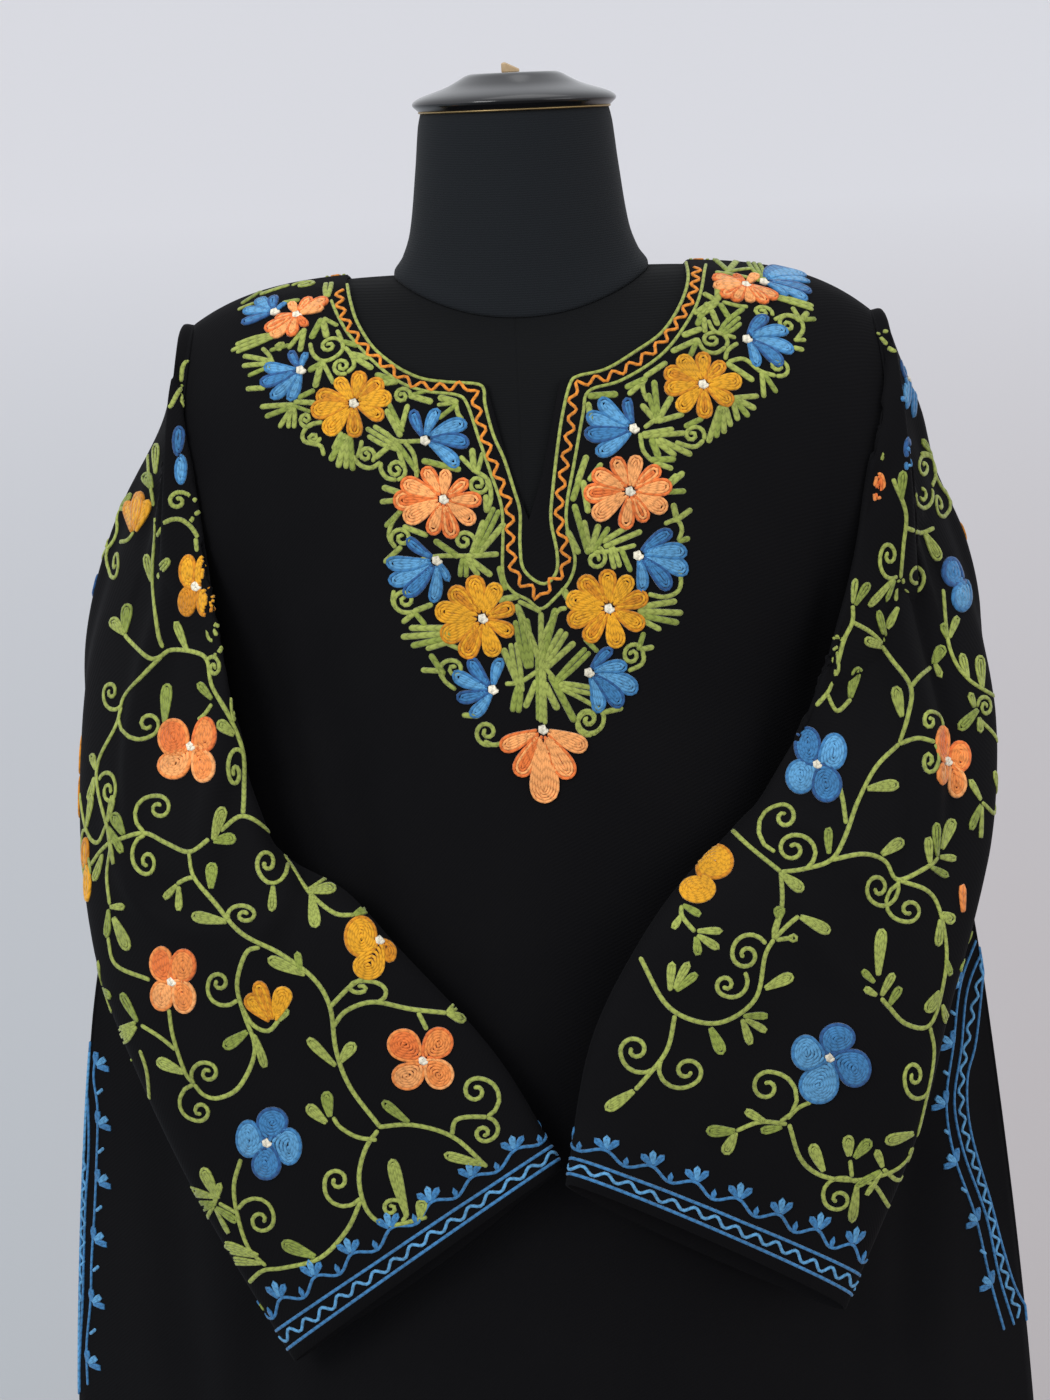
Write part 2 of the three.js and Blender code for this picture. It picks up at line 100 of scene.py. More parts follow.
bodyRows = {
    "drop":       [0, 4, 16, 45, 100, 160, 226, 310, 420, 640, 1049],
    "depthFront": [0, 23, 47, 79, 104, 118, 124, 126, 126, 130, 150],
    "depthBack":  [0, 23, 46, 75, 98, 106, 109, 108, 108, 118, 142],
    "half":       [181, 182, 184, 187, 191, 197, 210, 232, 252, 274, 296],
    "fall":       [1, 1, 1, 1, 1, 1.03, 1.08, 1.13, 1.12, 1.0, 0.9],
    "shift":      [5, 5, 5, 4, 3, 1, -2, -5, -8, -8, -6],
}
skirtFolds = {
    "front": [(-0.74, 0.13, 15, 470), (-0.43, 0.12, 10, 640), (-0.1, 0.12, 12, 600), (0.27, 0.14, 14, 560),
              (0.62, 0.12, 13, 500)],
    "back": [(-0.68, 0.13, 16, 420), (-0.34, 0.12, 14, 330), (0.03, 0.13, 15, 380), (0.36, 0.12, 13, 350),
             (0.7, 0.13, 16, 440)],
}


def column(rows, at, key, place):
    # a smooth cubic through a table's column, with slopes from the rows on either side
    places, values = np.array(rows[at], float), np.array(rows[key], float)
    slopes = np.empty_like(values)
    slopes[1:-1] = (values[2:] - values[:-2]) / (places[2:] - places[:-2])
    slopes[0] = (values[1] - values[0]) / (places[1] - places[0])
    slopes[-1] = (values[-1] - values[-2]) / (places[-1] - places[-2])
    k = np.clip(np.searchsorted(places, place, side="right") - 1, 0, len(places) - 2)
    span = places[k + 1] - places[k]
    t = np.clip((place - places[k]) / span, 0, 1)
    low = (2 * t**3 - 3 * t**2 + 1) * values[k] + (t**3 - 2 * t**2 + t) * span * slopes[k]
    return low + (3 * t**2 - 2 * t**3) * values[k + 1] + (t**3 - t**2) * span * slopes[k + 1]


def halfAndShift(drop):
    # half width of the body at a drop, and how far its centre line stands to the side
    return column(bodyRows, "drop", "half", drop), column(bodyRows, "drop", "shift", drop)


def lengthAlong(line):
    return np.concatenate([[0], np.cumsum(np.linalg.norm(np.diff(line, axis=0), axis=1))])


def pointsAt(line, length, at):
    # places on a line at some distances along it
    return np.stack([np.interp(at, length, values) for values in line.T], -1)


def smooth(value, low, high):
    # an S from 0 to 1: three squares less two cubes of the share
    t = np.clip((value - low) / (high - low), 0, 1)
    return t * t * (3 - 2 * t)


def shoulderDip(x, drop):
    # the shoulder falls with the fifth power of the way out, and less the further down
    fade = 1 / (1 + (drop / 120) ** 2)
    return cut["shoulderFall"] * fade * np.minimum(np.abs(x) / cut["shoulderHalf"], 1.05) ** 5


def dropAt(x, height):
    # the drop found at a height, under the shoulder's slope, by repeated correction
    drop = np.maximum(cut["ridgeHeight"] - height, 0)
    for _ in range(12):
        drop = np.maximum(cut["ridgeHeight"] - height - shoulderDip(x, drop), 0)
    return drop


def armholeDepth(drop):
    # half the armhole from front to back: a root near the shoulder, closing to a point at the underarm
    share = np.clip(drop / cut["armholeDrop"], 0, 1)
    return cut["armholeHalfDepth"] * np.sqrt(share) * (1 - share**2) ** 1.5 / 0.488


def clothDepth(side, x, drop):
    # from the armhole's depth at the edge to the full depth at the centre line
    half, shift = halfAndShift(drop)
    across = np.clip(np.abs((x - shift) / half), 0, 1)
    centre = column(bodyRows, "drop", "depthFront" if side == "front" else "depthBack", drop)
    edge = np.minimum(armholeDepth(drop), centre)
    return edge + (centre - edge) * (1 - across**2) ** column(bodyRows, "drop", "fall", drop)


def bodyPoint(side, x, drop):
    # the hanging face before its creases: its depth, and each skirt fold a bell that grows towards the hem
    half, shift = halfAndShift(drop)
    across = np.clip((x - shift) / half, -1, 1)
    lift = sum(height * smooth(drop, start, cut["hemDrop"]) * np.exp(-(((across - place) / width) ** 2))
               for place, width, height, start in skirtFolds[side])
    y = seamGap / 2 + clothDepth(side, x, drop) + lift * (1 - across**6)
    z = cut["ridgeHeight"] - drop - shoulderDip(x, drop)
    return np.stack([x + 0 * y, -y if side == "front" else y, z + 0 * y], -1)


# Creases: from (x, down) to (x, down), width, height (below 0 is a trough), bend sideways.
creases = {
    "front": [(-150, 60, -120, 330, 9, -3.0, 8), (-168, 90, -150, 300, 7, 2.5, 5),
        (-128, 150, -96, 400, 12, -2.2, -10), (160, 70, 140, 260, 8, -2.8, -6),
        (175, 110, 150, 330, 8, 2.4, 6), (128, 180, 150, 420, 13, -2.4, 8),
        (-60, 330, -30, 560, 16, -1.8, 12), (40, 300, 10, 520, 18, -1.6, -8), (8, 190, 14, 330, 15, 1.2, 3),
        (-215, 420, -190, 760, 14, -4.0, 10), (-165, 520, -205, 900, 13, -4.5, -8),
        (210, 400, 190, 700, 13, -4.0, 9), (160, 560, 200, 930, 14, -4.2, 8),
        (-90, 640, -70, 1049, 16, -4.5, 6), (20, 620, 30, 1049, 15, -4.0, -9),
        (110, 600, 95, 1000, 15, -3.6, 7), (-250, 700, -262, 1049, 12, -4.0, 4),
        (250, 640, 268, 1049, 12, -4.2, -4)],
    "back": [(-140, 50, -100, 300, 11, -3.2, 10), (-165, 90, -135, 320, 8, 2.6, 6),
        (150, 60, 112, 310, 11, -3.0, -9), (170, 110, 140, 340, 8, 2.4, -5),
        (-60, 90, -40, 420, 15, -2.2, 8), (45, 120, 60, 460, 15, -2.0, -7), (0, 240, -8, 560, 17, -2.6, 6),
        (-205, 380, -180, 760, 14, -4.5, 9), (-120, 480, -150, 980, 15, -5.0, -8),
        (100, 420, 85, 900, 15, -5.0, 7), (200, 400, 190, 780, 14, -4.2, 8),
        (-30, 560, -55, 1049, 16, -4.4, 6), (165, 640, 190, 1049, 14, -4.4, -6),
        (250, 660, 262, 1049, 12, -4.0, 5), (-250, 640, -266, 1049, 12, -4.0, 4)],
}


def relief(table, x, down):
    # each crease is a bell across its bent line, fading out at both ends, with a faint return beside it
    lift = np.zeros(np.broadcast(x, down).shape)
    for x0, down0, x1, down1, width, height, bend in table:
        line = np.array([x1 - x0, down1 - down0], float)
        length = np.hypot(*line)
        line /= length
        along = ((x - x0) * line[0] + (down - down0) * line[1]) / length
        off = (x - x0) * line[1] - (down - down0) * line[0]
        inside = np.clip(along, 0, 1)
        off = off + bend * 4 * inside * (1 - inside)
        ends = np.sin(np.pi * inside) ** 0.8
        lift += height * ends * (np.exp(-((off / width) ** 2)) - 0.45 * np.exp(-((off / width - 1.9) ** 2)))
    return lift


def compass(angle):
    return np.stack([np.cos(angle), np.sin(angle)], -1)


def unit(vectors):
    return vectors / np.maximum(np.linalg.norm(vectors, axis=-1, keepdims=True), 1e-9)


def clothPoint(side, x, drop):
    # the hanging face moved along its normal by the creases
    step = 0.8
    base = bodyPoint(side, x, drop)
    across = bodyPoint(side, x + step, drop) - bodyPoint(side, x - step, drop)
    down = bodyPoint(side, x, drop + step) - bodyPoint(side, x, np.maximum(drop - step, 0))
    normal = unit(np.cross(down, across))
    if side == "back":
        normal = -normal
    half, shift = halfAndShift(drop)
    edgeFade = 1 - np.clip(np.abs((x - shift) / half), 0, 1) ** 8
    ridgeFade = smooth(drop, 2, 40)
    return base + normal * (relief(creases[side], x, drop) * edgeFade * ridgeFade)[..., None]


# Meshes from whole arrays of places.
def writeMesh(name, points, faces, uv=None, material=None, smoothFaces=True):
    mesh = bpy.data.meshes.new(name)
    mesh.from_pydata((points * mm).tolist(), [], faces.tolist())
    if uv is not None:
        layer = mesh.uv_layers.new(name="UVMap")
        layer.data.foreach_set("uv", (uv[faces.ravel()] * mm).ravel())
    mesh.polygons.foreach_set("use_smooth", np.full(len(mesh.polygons), smoothFaces))
    mesh.update()
    piece = bpy.data.objects.new(name, mesh)
    scene.collection.objects.link(piece)
    if material:
        mesh.materials.append(material)
    return piece


def gridFaces(rows, columns, wrap=False, flip=False):
    # the four corners of each cell of a grid stored row by row
    j, i = np.meshgrid(np.arange(rows - 1), np.arange(columns if wrap else columns - 1), indexing="ij")
    right = (i + 1) % columns
    near, far = j * columns, (j + 1) * columns
    corners = np.stack([near + i, near + right, far + right, far + i], -1).reshape(-1, 4)
    return corners[:, ::-1] if flip else corners


def wallInside(piece, thickness):
    wall = piece.modifiers.new("wall", "SOLIDIFY")
    wall.thickness = thickness * mm
    wall.offset = -1
    wall.use_even_offset = False


# Finishes.
def newMaterial(name, colour, roughness, **sockets):
    material = bpy.data.materials.new(name)
    material.use_nodes = True
    shader = material.node_tree.nodes["Principled BSDF"]
    shader.inputs["Base Color"].default_value = (*colour, 1)
    shader.inputs["Roughness"].default_value = roughness
    for socket, value in sockets.items():
        shader.inputs[socket.replace("_", " ")].default_value = value
    return material, material.node_tree, shader


def addNode(tree, kind, inputs=None, **settings):
    node = tree.nodes.new(kind)
    for setting, value in settings.items():
        setattr(node, setting, value)
    for socket, value in (inputs or {}).items():
        if isinstance(value, bpy.types.NodeSocket):
            tree.links.new(value, node.inputs[socket])
        else:
            node.inputs[socket].default_value = value
    return node


def addMath(tree, operation, *inputs):
    return addNode(tree, "ShaderNodeMath", dict(enumerate(inputs)), operation=operation).outputs[0]


def addNoise(tree, vector, scale, detail):
    noise = addNode(tree, "ShaderNodeTexNoise", {"Vector": vector, "Scale": scale, "Detail": detail})
    return noise.outputs["Fac"]


def addRange(tree, value, low, high, to=(0.0, 1.0)):
    # a value taken from one span to another
    return addNode(tree, "ShaderNodeMapRange", {"Value": value, "From Min": low, "From Max": high,
                                                "To Min": to[0], "To Max": to[1]}).outputs["Result"]


def addRamp(tree, value, first, last):
    # two colours with a straight change between them
    ramp = addNode(tree, "ShaderNodeValToRGB", {"Fac": value})
    ramp.color_ramp.elements[0].color = (*first, 1)
    ramp.color_ramp.elements[1].color = (*last, 1)
    return ramp


def objectPlace(tree):
    return addNode(tree, "ShaderNodeTexCoord").outputs["Object"]


def addBump(tree, shader, height, strength, distance):
    bump = addNode(tree, "ShaderNodeBump", {"Strength": strength, "Distance": distance, "Height": height})
    tree.links.new(bump.outputs["Normal"], shader.inputs["Normal"])


def blackClothMaterial():
    twill = {"pitch": 0.9, "lean": 0.9}
    material, tree, shader = newMaterial("blackTwill", (0.0042, 0.0042, 0.0050), 0.86, Sheen_Weight=0.02,
                                         Sheen_Roughness=0.45, Specular_IOR_Level=0.07)
    shader.inputs["Sheen Tint"].default_value = (0.55, 0.55, 0.6, 1)
    uv = addNode(tree, "ShaderNodeUVMap", uv_map="UVMap").outputs["UV"]
    turned = addNode(tree, "ShaderNodeMapping", {"Vector": uv, "Rotation": (0, 0, twill["lean"]),
                                                 "Scale": (1 / (twill["pitch"] * mm),) * 3})
    ribs = addNode(tree, "ShaderNodeTexWave", {"Vector": turned.outputs["Vector"], "Scale": 0.16,
                                               "Distortion": 0.6, "Detail": 1.0, "Detail Scale": 2.0})
    fuzz = addNoise(tree, uv, 900.0, 3.0)
    mixed = addNode(tree, "ShaderNodeMix", {"A": ribs.outputs["Fac"], "B": fuzz, "Factor": 0.45})
    addBump(tree, shader, mixed.outputs["Result"], 0.35, 0.0004)
    shade = addRamp(tree, addNoise(tree, uv, 14.0, 4.0), (0.0034, 0.0034, 0.0042), (0.0056, 0.0054, 0.0060))
    tree.links.new(shade.outputs["Color"], shader.inputs["Base Color"])
    return material


blackCloth = blackClothMaterial()


# Front and back panels.
def neckHalfAt(side, depth):
    # half width of the neck opening at a depth: a flattened oval, then the two straights of the slit
    full = cut["neckFrontDepth"] if side == "front" else cut["neckBackDepth"]
    turn = np.clip(depth / full, 0, 1) ** (1 / 0.9)
    oval = cut["neckHalf"] * np.maximum(1 - turn**2, 0) ** 0.41
    if side == "back":
        return oval
    bend = full + cut["slitLength"] * cut["slitBendShare"]
    slit = np.interp(depth, [full, bend, full + cut["slitLength"]], [cut["slitHalf"], cut["slitBendHalf"], 0])
    return np.where(depth < full, np.maximum(oval, cut["slitHalf"]), slit)


panelSizes = {"nearRidge": 7, "roundNeck": 26, "slitRows": 18, "rowStep": 8.0, "columns": 64}


def panelRows(side):
    # drops of the grid: close at the ridge, by the arc round the neck, even down the slit and to the hem
    full = cut["neckFrontDepth"] if side == "front" else cut["neckBackDepth"]
    near = 3.5 * (np.arange(panelSizes["nearRidge"]) / panelSizes["nearRidge"]) ** 2
    last = np.radians(81.6 if side == "front" else 90)
    turns = np.linspace(np.arcsin((3.6 / full) ** (1 / 0.9)), last, panelSizes["roundNeck"])
    oval = full * np.sin(turns) ** 0.9
    rows = [near, oval]
    start = full
    if side == "front":
        rows.append(full + cut["slitLength"] * np.linspace(0.02, 1, panelSizes["slitRows"]))
        start = full + cut["slitLength"]
    count = int((cut["hemDrop"] - start) / panelSizes["rowStep"])
    rows.append(np.linspace(start, cut["hemDrop"], count + 1)[1:])
    return np.concatenate(rows), start


def arcDown(points):
    # length down each column of a grid
    steps = np.linalg.norm(np.diff(points, axis=0), axis=-1)
    return np.concatenate([np.zeros((1, points.shape[1])), np.cumsum(steps, 0)])


def makePanel(side):
    # two grids that part at the neck and slit and share one column of places below it
    drops, joinedFrom = panelRows(side)
    columns = panelSizes["columns"]
    half, shift = halfAndShift(drops)
    depth = drops.copy()
    for _ in range(3):
        depth = drops + shoulderDip(neckHalfAt(side, depth), drops)
    inner = np.where(drops < joinedFrom - 0.01, neckHalfAt(side, depth), 0)
    share = np.linspace(0, 1, columns + 1)
    grids = []
    for hand in (-1, 1):
        start = cut["neckCentre"] + hand * inner
        end = shift + hand * half
        x = start[:, None] + (end - start)[:, None] * share[None, :]
        grids.append(clothPoint(side, x, np.broadcast_to(drops[:, None], x.shape)))
    rows, width = grids[0].shape[:2]
    points = np.concatenate([grid.reshape(-1, 3) for grid in grids])
    down = np.concatenate([arcDown(grid).ravel() for grid in grids])
    uv = np.stack([points[:, 0], -down], -1)
    index = np.arange(2 * rows * width)
    joined = np.flatnonzero(drops >= joinedFrom - 0.01)
    index[rows * width + joined * width] = joined * width
    left = gridFaces(rows, width, flip=side == "back")
    right = gridFaces(rows, width, flip=side == "front") + rows * width
    faces = index[np.concatenate([left, right])]
    used, compact = np.unique(faces, return_inverse=True)
    piece = writeMesh(side + "_cloth", points[used], compact.reshape(faces.shape), uv[used], blackCloth)
    wallInside(piece, clothWall)
    return piece


frontCloth = makePanel("front")
backCloth = makePanel("back")
print("panels made")

# Sleeves.
sleeveRows = {
    -1: {"out": [199, 199, 198, 198, 196, 190, 174, 152, 113, 73],
        "ahead": [12, 25, 35, 48, 63, 82, 103, 117, 128, 133],
        "up": [1244, 1218, 1191, 1161, 1131, 1097, 1066, 1028, 963, 885], "wide": [(-10, -8, 86),
        (3, -15, 75), (19, -18, 60), (36, -20, 40), (48, -20, 20), (58, -18, -4), (68, -18, -25),
        (74, -17, -33), (82, -16, -42), (75, -15, -58)], "deep": [(-18, 50, 0), (-31, 52, -2),
        (-36, 54, -4), (-34, 54, -6), (-27, 52, -6), (-19, 44, -2), (-9, 34, 3), (-4, 27, 4), (0, 21, 5),
        (0, 17, 8)]},
    1: {"out": [202, 196, 188, 180, 176, 165, 147, 128, 106, 76],
        "ahead": [12, 25, 38, 54, 71, 91, 112, 127, 138, 145],
        "up": [1246, 1220, 1193, 1162, 1133, 1100, 1069, 1035, 982, 893], "wide": [(-4, -8, 89),
        (5, -16, 76), (26, -22, 58), (48, -25, 36), (63, -25, 12), (73, -24, -8), (78, -22, -23),
        (82, -20, -30), (87, -20, -35), (74, -21, -47)], "deep": [(-22, 50, 0), (-30, 52, -2),
        (-40, 52, -5), (-42, 48, -6), (-34, 44, -4), (-22, 38, 0), (-11, 31, 3), (-5, 26, 5), (0, 22, 7),
        (0, 17, 11)]},
}
sleeveSizes = {"around": 120, "along": 130, "tuck": 0.8}


def armholePoint(hand, turn):
    # round the armhole from the ridge: down one side by a cosine of the turn, and up the other
    drop = cut["armholeDrop"] * (1 - np.cos(turn)) / 2
    half, shift = halfAndShift(drop)
    x = shift + hand * (half + seamGap * 1.5)
    y = -armholeDepth(drop) * np.sign(np.sin(turn))
    return np.stack([x, y, cut["ridgeHeight"] - drop - shoulderDip(x, drop)], -1)


def clearOfFront(points, hand, frontHalf):
    # where a sleeve lies on the front it stays a little off the front's own depth
    x, z = points[..., 0], points[..., 2]
    drop = dropAt(x, z)
    half, shift = halfAndShift(drop)
    inside = half - hand * (x - shift)
    margin = np.where(frontHalf, cut["restRound"], 0.0)
    room = cut["restRoom"] * smooth(inside, -margin, cut["restRound"])
    limit = -clothDepth("front", x, drop) - room
    points[..., 1] = np.where(inside > -margin, np.minimum(points[..., 1], limit), points[..., 1])
    return points


def curveThrough(knots, place):
    # centripetal Catmull-Rom through the knots (first axis), at a share of the way from 0 to 1
    count = len(knots)
    first, last = 2 * knots[0] - knots[1], 2 * knots[-1] - knots[-2]
    padded = np.concatenate([first[None], knots, last[None]])
    p = (count - 1) * place
    k = min(int(p), count - 2)
    t = p - k
    a, b, c, d = padded[k], padded[k + 1], padded[k + 2], padded[k + 3]
    pairs = ((a, b), (b, c), (c, d))
    gaps = [np.maximum(np.linalg.norm(v - u, axis=-1, keepdims=True), 1e-6) ** 0.5 for u, v in pairs]
    slopeB = ((b - a) / gaps[0] - (c - a) / (gaps[0] + gaps[1]) + (c - b) / gaps[1]) * gaps[1]
    slopeC = ((c - b) / gaps[1] - (d - b) / (gaps[1] + gaps[2]) + (d - c) / gaps[2]) * gaps[1]
    return ((2 * t**3 - 3 * t**2 + 1) * b + (t**3 - 2 * t**2 + t) * slopeB
            + (3 * t**2 - 2 * t**3) * c + (t**3 - t**2) * slopeC)


def sleeveGrid(hand):
    # rings of an ellipse swept from the armhole through the table's rows, evenly spaced round each ring
    rows = sleeveRows[hand]
    turn = np.linspace(0, 2 * np.pi, sleeveSizes["around"], endpoint=False)
    frontHalf = (turn > 0.01) & (turn <= np.radians(210))
    seam = armholePoint(hand, turn)
    rise = np.stack([np.full_like(turn, hand), -np.sin(turn), 0 * turn], -1) * cut["sleeveRise"]
    knots = [seam, seam + rise]
    for out, ahead, up, wide, deep in zip(*(rows[key] for key in ("out", "ahead", "up", "wide", "deep"))):
        x, y, z = (lead + w * np.cos(turn) + d * np.sin(turn)
                   for lead, w, d in zip((out, ahead, up), wide, deep))
        knots.append(clearOfFront(np.stack([hand * x, -y, z], -1), hand, frontHalf))
    knots = np.stack(knots)
    shares = np.linspace(0, 1, sleeveSizes["along"] + 1) ** 1.25
    rings = [clearOfFront(curveThrough(knots, share), hand, frontHalf) for share in shares[1:]]
    return np.stack([seam.copy(), *rings])


def evenRound(grid):
    # each ring is walked again in equal steps of its own length
    rings = np.concatenate([grid, grid[:, :1]], 1)
    lengths = np.stack([lengthAlong(ring) for ring in rings])
    share = np.arange(grid.shape[1]) / grid.shape[1]
    return np.stack([pointsAt(ring, length, share * length[-1]) for ring, length in zip(rings, lengths)])


def gridNormals(grid, wrap):
    # the steps across and down a grid, crossed
    if wrap:
        across = np.roll(grid, -1, 1) - np.roll(grid, 1, 1)
    else:
        across = np.gradient(grid, axis=1)
    return unit(np.cross(across, np.gradient(grid, axis=0)))


# Sleeve creases: from (share round, mm along) to (share round, mm along), width, height, bend in mm.
sleeveCreases = {
    -1: [(0.1, 30, 0.16, 250, 10, -4.0, 10), (0.22, 60, 0.3, 230, 9, -3.2, -8),
        (0.34, 90, 0.27, 300, 10, -3.0, 8), (0.05, 190, 0.3, 262, 9, -3.0, 12),
        (0.44, 210, 0.28, 285, 8, -3.4, -8), (0.16, 300, 0.24, 520, 16, -2.2, 8),
        (0.33, 330, 0.36, 540, 14, 1.8, 5), (0.6, 60, 0.68, 300, 10, -4.0, 8),
        (0.8, 80, 0.72, 330, 10, -3.6, -8), (0.92, 40, 0.86, 260, 10, -3.4, 6),
        (0.65, 300, 0.75, 520, 14, -2.4, 8), (0.85, 320, 0.9, 540, 14, -2.0, 6)],
    1: [(0.06, 20, 0.1, 240, 7, 4.5, 6), (0.13, 20, 0.15, 300, 8, -4.5, 6),
        (0.3, 60, 0.24, 260, 10, -3.2, -7), (0.42, 200, 0.22, 262, 9, -3.2, 9),
        (0.36, 240, 0.18, 318, 8, -2.6, -9), (0.2, 330, 0.27, 540, 15, -2.0, 7),
        (0.36, 330, 0.33, 520, 13, 1.6, -5), (0.62, 50, 0.7, 310, 10, -4.0, 8),
        (0.8, 90, 0.74, 320, 10, -3.4, -8), (0.92, 40, 0.88, 280, 9, -3.6, 6),
        (0.64, 320, 0.72, 540, 14, -2.2, 7), (0.84, 330, 0.88, 520, 14, -2.2, -6)],
}


def creasedSleeve(hand):
    # the swept sleeve moved along its normals by its creases, which go round past the seam
    grid = evenRound(sleeveGrid(hand))
    rings = np.concatenate([grid, grid[:, :1]], 1)
    around = np.linalg.norm(np.diff(rings, axis=1), axis=-1).sum(1)
    along = arcDown(grid).mean(1)
    share = np.arange(grid.shape[1]) / grid.shape[1]
    normals = gridNormals(grid, True) * (-hand)
    lift = np.zeros(grid.shape[:2])
    mean = around.mean()
    for wrapped in (-1, 0, 1):
        table = [((a + wrapped) * mean, start, (b + wrapped) * mean, end, *rest)
                 for a, start, b, end, *rest in sleeveCreases[hand]]
        lift += relief(table, (share * mean)[None, :], along[:, None])
    ends = smooth(along, 4, 40) * (1 - smooth(along, along[-1] - 45, along[-1] - 5))
    grid = grid + normals * (lift * ends[:, None])[..., None]
    frontHalf = np.broadcast_to((share > 0.005) & (share < 0.58), grid.shape[:2])
    return clearOfFront(grid, hand, frontHalf), along, around


def makeSleeve(hand, name):
    # one closed tube whose pattern opens along the inner seam
    grid, along, around = creasedSleeve(hand)
    grid[0, :, 0] -= hand * sleeveSizes["tuck"]
    rows, columns = grid.shape[:2]
    share = np.arange(columns + 1) / columns
    down = np.broadcast_to(along[:, None], (rows, columns + 1))
    uv = np.stack([share[None, :] * around[:, None], -down], -1)
    faces = gridFaces(rows, columns, wrap=True, flip=hand < 0)
    uvFaces = gridFaces(rows, columns + 1, flip=hand < 0)
    piece = writeMesh(name, grid.reshape(-1, 3), faces, None, blackCloth)
    layer = piece.data.uv_layers.new(name="UVMap")
    layer.data.foreach_set("uv", (uv.reshape(-1, 2)[uvFaces.ravel()] * mm).ravel())
    wallInside(piece, clothWall)
    return piece


sleeveLeft = makeSleeve(-1, "sleeve_left_cloth")
sleeveRight = makeSleeve(1, "sleeve_right_cloth")
print("sleeves made")

# Thread work: rows of chain stitch, each an arched strand laid on a chart of the cloth, sizes in mm.
stitch = {"row": 1.4, "high": 0.7, "step": 2.0, "under": 0.15, "pitch": 2.4, "stem": 2.7, "border": 1.9}
px = 0.55  # mm at the form's depth for each pixel of the camera's frame
threads = {
    "green": (0.24, 0.3, 0.05), "leafGreen": (0.32, 0.375, 0.078), "mustard": (0.78, 0.36, 0.012),
    "amber": (0.64, 0.24, 0.008), "peach": (0.92, 0.38, 0.12), "coral": (0.78, 0.18, 0.035),
    "orange": (0.86, 0.27, 0.06), "blue": (0.042, 0.19, 0.41), "lightBlue": (0.1, 0.32, 0.57),
    "darkBlue": (0.02, 0.09, 0.25), "cream": (0.84, 0.78, 0.62), "zigzag": (0.75, 0.25, 0.02),
}
threadNames = list(threads)
chartSizes = {"step": 3.0, "panelColumns": 200, "overlap": 40, "turnBack": 24, "cell": 4}


def threadMaterial(name, colour):
    # chevrons along each row: a sawtooth of the length plus the distance from the row's middle
    material, tree, shader = newMaterial(name + "Thread", colour, 0.7, Sheen_Weight=0.25, Sheen_Roughness=0.4,
                                         Specular_IOR_Level=0.3)
    uv = addNode(tree, "ShaderNodeUVMap", uv_map="UVMap")
    place = addNode(tree, "ShaderNodeSeparateXYZ", {"Vector": uv.outputs["UV"]})
    aside = addMath(tree, "ABSOLUTE", place.outputs["Y"])
    lean = addMath(tree, "MULTIPLY_ADD", aside, 1.4, place.outputs["X"])
    link = addMath(tree, "PINGPONG", addMath(tree, "MULTIPLY", lean, 1 / (stitch["pitch"] * mm)), 1.0)
    # the ramp paints shade in the dips between the stitch loops and a painted sheen on their crowns
    shade = addRamp(tree, link, [c * 0.68 for c in colour], [min(c * 1.08, 1) for c in colour])
    shade.color_ramp.elements[1].position = 0.5
    tone = addRange(tree, addNoise(tree, objectPlace(tree), 55.0, 2.0), 0.3, 0.7, (0.8, 1.14))
    tinted = addNode(tree, "ShaderNodeVectorMath", {0: shade.outputs["Color"], 1: tone}, operation="MULTIPLY")
    tree.links.new(tinted.outputs["Vector"], shader.inputs["Base Color"])
    addBump(tree, shader, link, 0.35, 0.0003)
    return material


threadMaterials = [threadMaterial(name, colour) for name, colour in threads.items()]


def makeChart(points, outward, left, span, offset, lastColumn):
    # the cloth's places and normals, and for each cell of the camera's frame the place nearest the camera
    normals = unit(np.cross(np.gradient(points, axis=1), np.gradient(points, axis=0))) * outward
    pixels = toPixel(points)
    columns = np.arange(max(offset - chartSizes["turnBack"], 0), lastColumn - 1, 1 / 3)
    columns, rows = np.meshgrid(columns, np.arange(0, len(points) - 1, 1 / 3))
    places = np.stack([columns.ravel(), rows.ravel()], -1)
    distance = np.linalg.norm(cameraPlace - between(points, places), axis=-1)
    places = places[np.argsort(-distance)]
    cell = chartSizes["cell"]
    shape = (view["imageHeight"] // cell + 1, view["imageWidth"] // cell + 1)
    spots = (between(pixels, places) // cell).astype(int)
    inside = (spots >= 0).all(1) & (spots[:, 0] < shape[1]) & (spots[:, 1] < shape[0])
    cells = np.full((*shape, 2), -1.0)
    cells[spots[inside, 1], spots[inside, 0]] = places[inside]
    for _ in range(12):
        for shift in ((0, 1), (0, -1), (1, 0), (-1, 0)):
            cells = np.where(cells < 0, np.roll(cells, shift, (0, 1)), cells)
    return {"points": points, "normals": normals, "pixels": pixels, "cells": cells, "left": left,
            "span": span, "offset": offset, "across": np.gradient(pixels, axis=1),
            "down": np.gradient(pixels, axis=0)}


def between(table, place):
    # a table's value at (column, row), weighted from its four nearest nodes
    rows, columns = table.shape[:2]
    c, r = np.clip(place[:, 0], 0, columns - 1.001), np.clip(place[:, 1], 0, rows - 1.001)
    i, j = c.astype(int), r.astype(int)
    s, t = (c - i)[:, None], (r - j)[:, None]
    upper = table[j, i] * (1 - s) + table[j, i + 1] * s
    return upper * (1 - t) + (table[j + 1, i] * (1 - s) + table[j + 1, i + 1] * s) * t


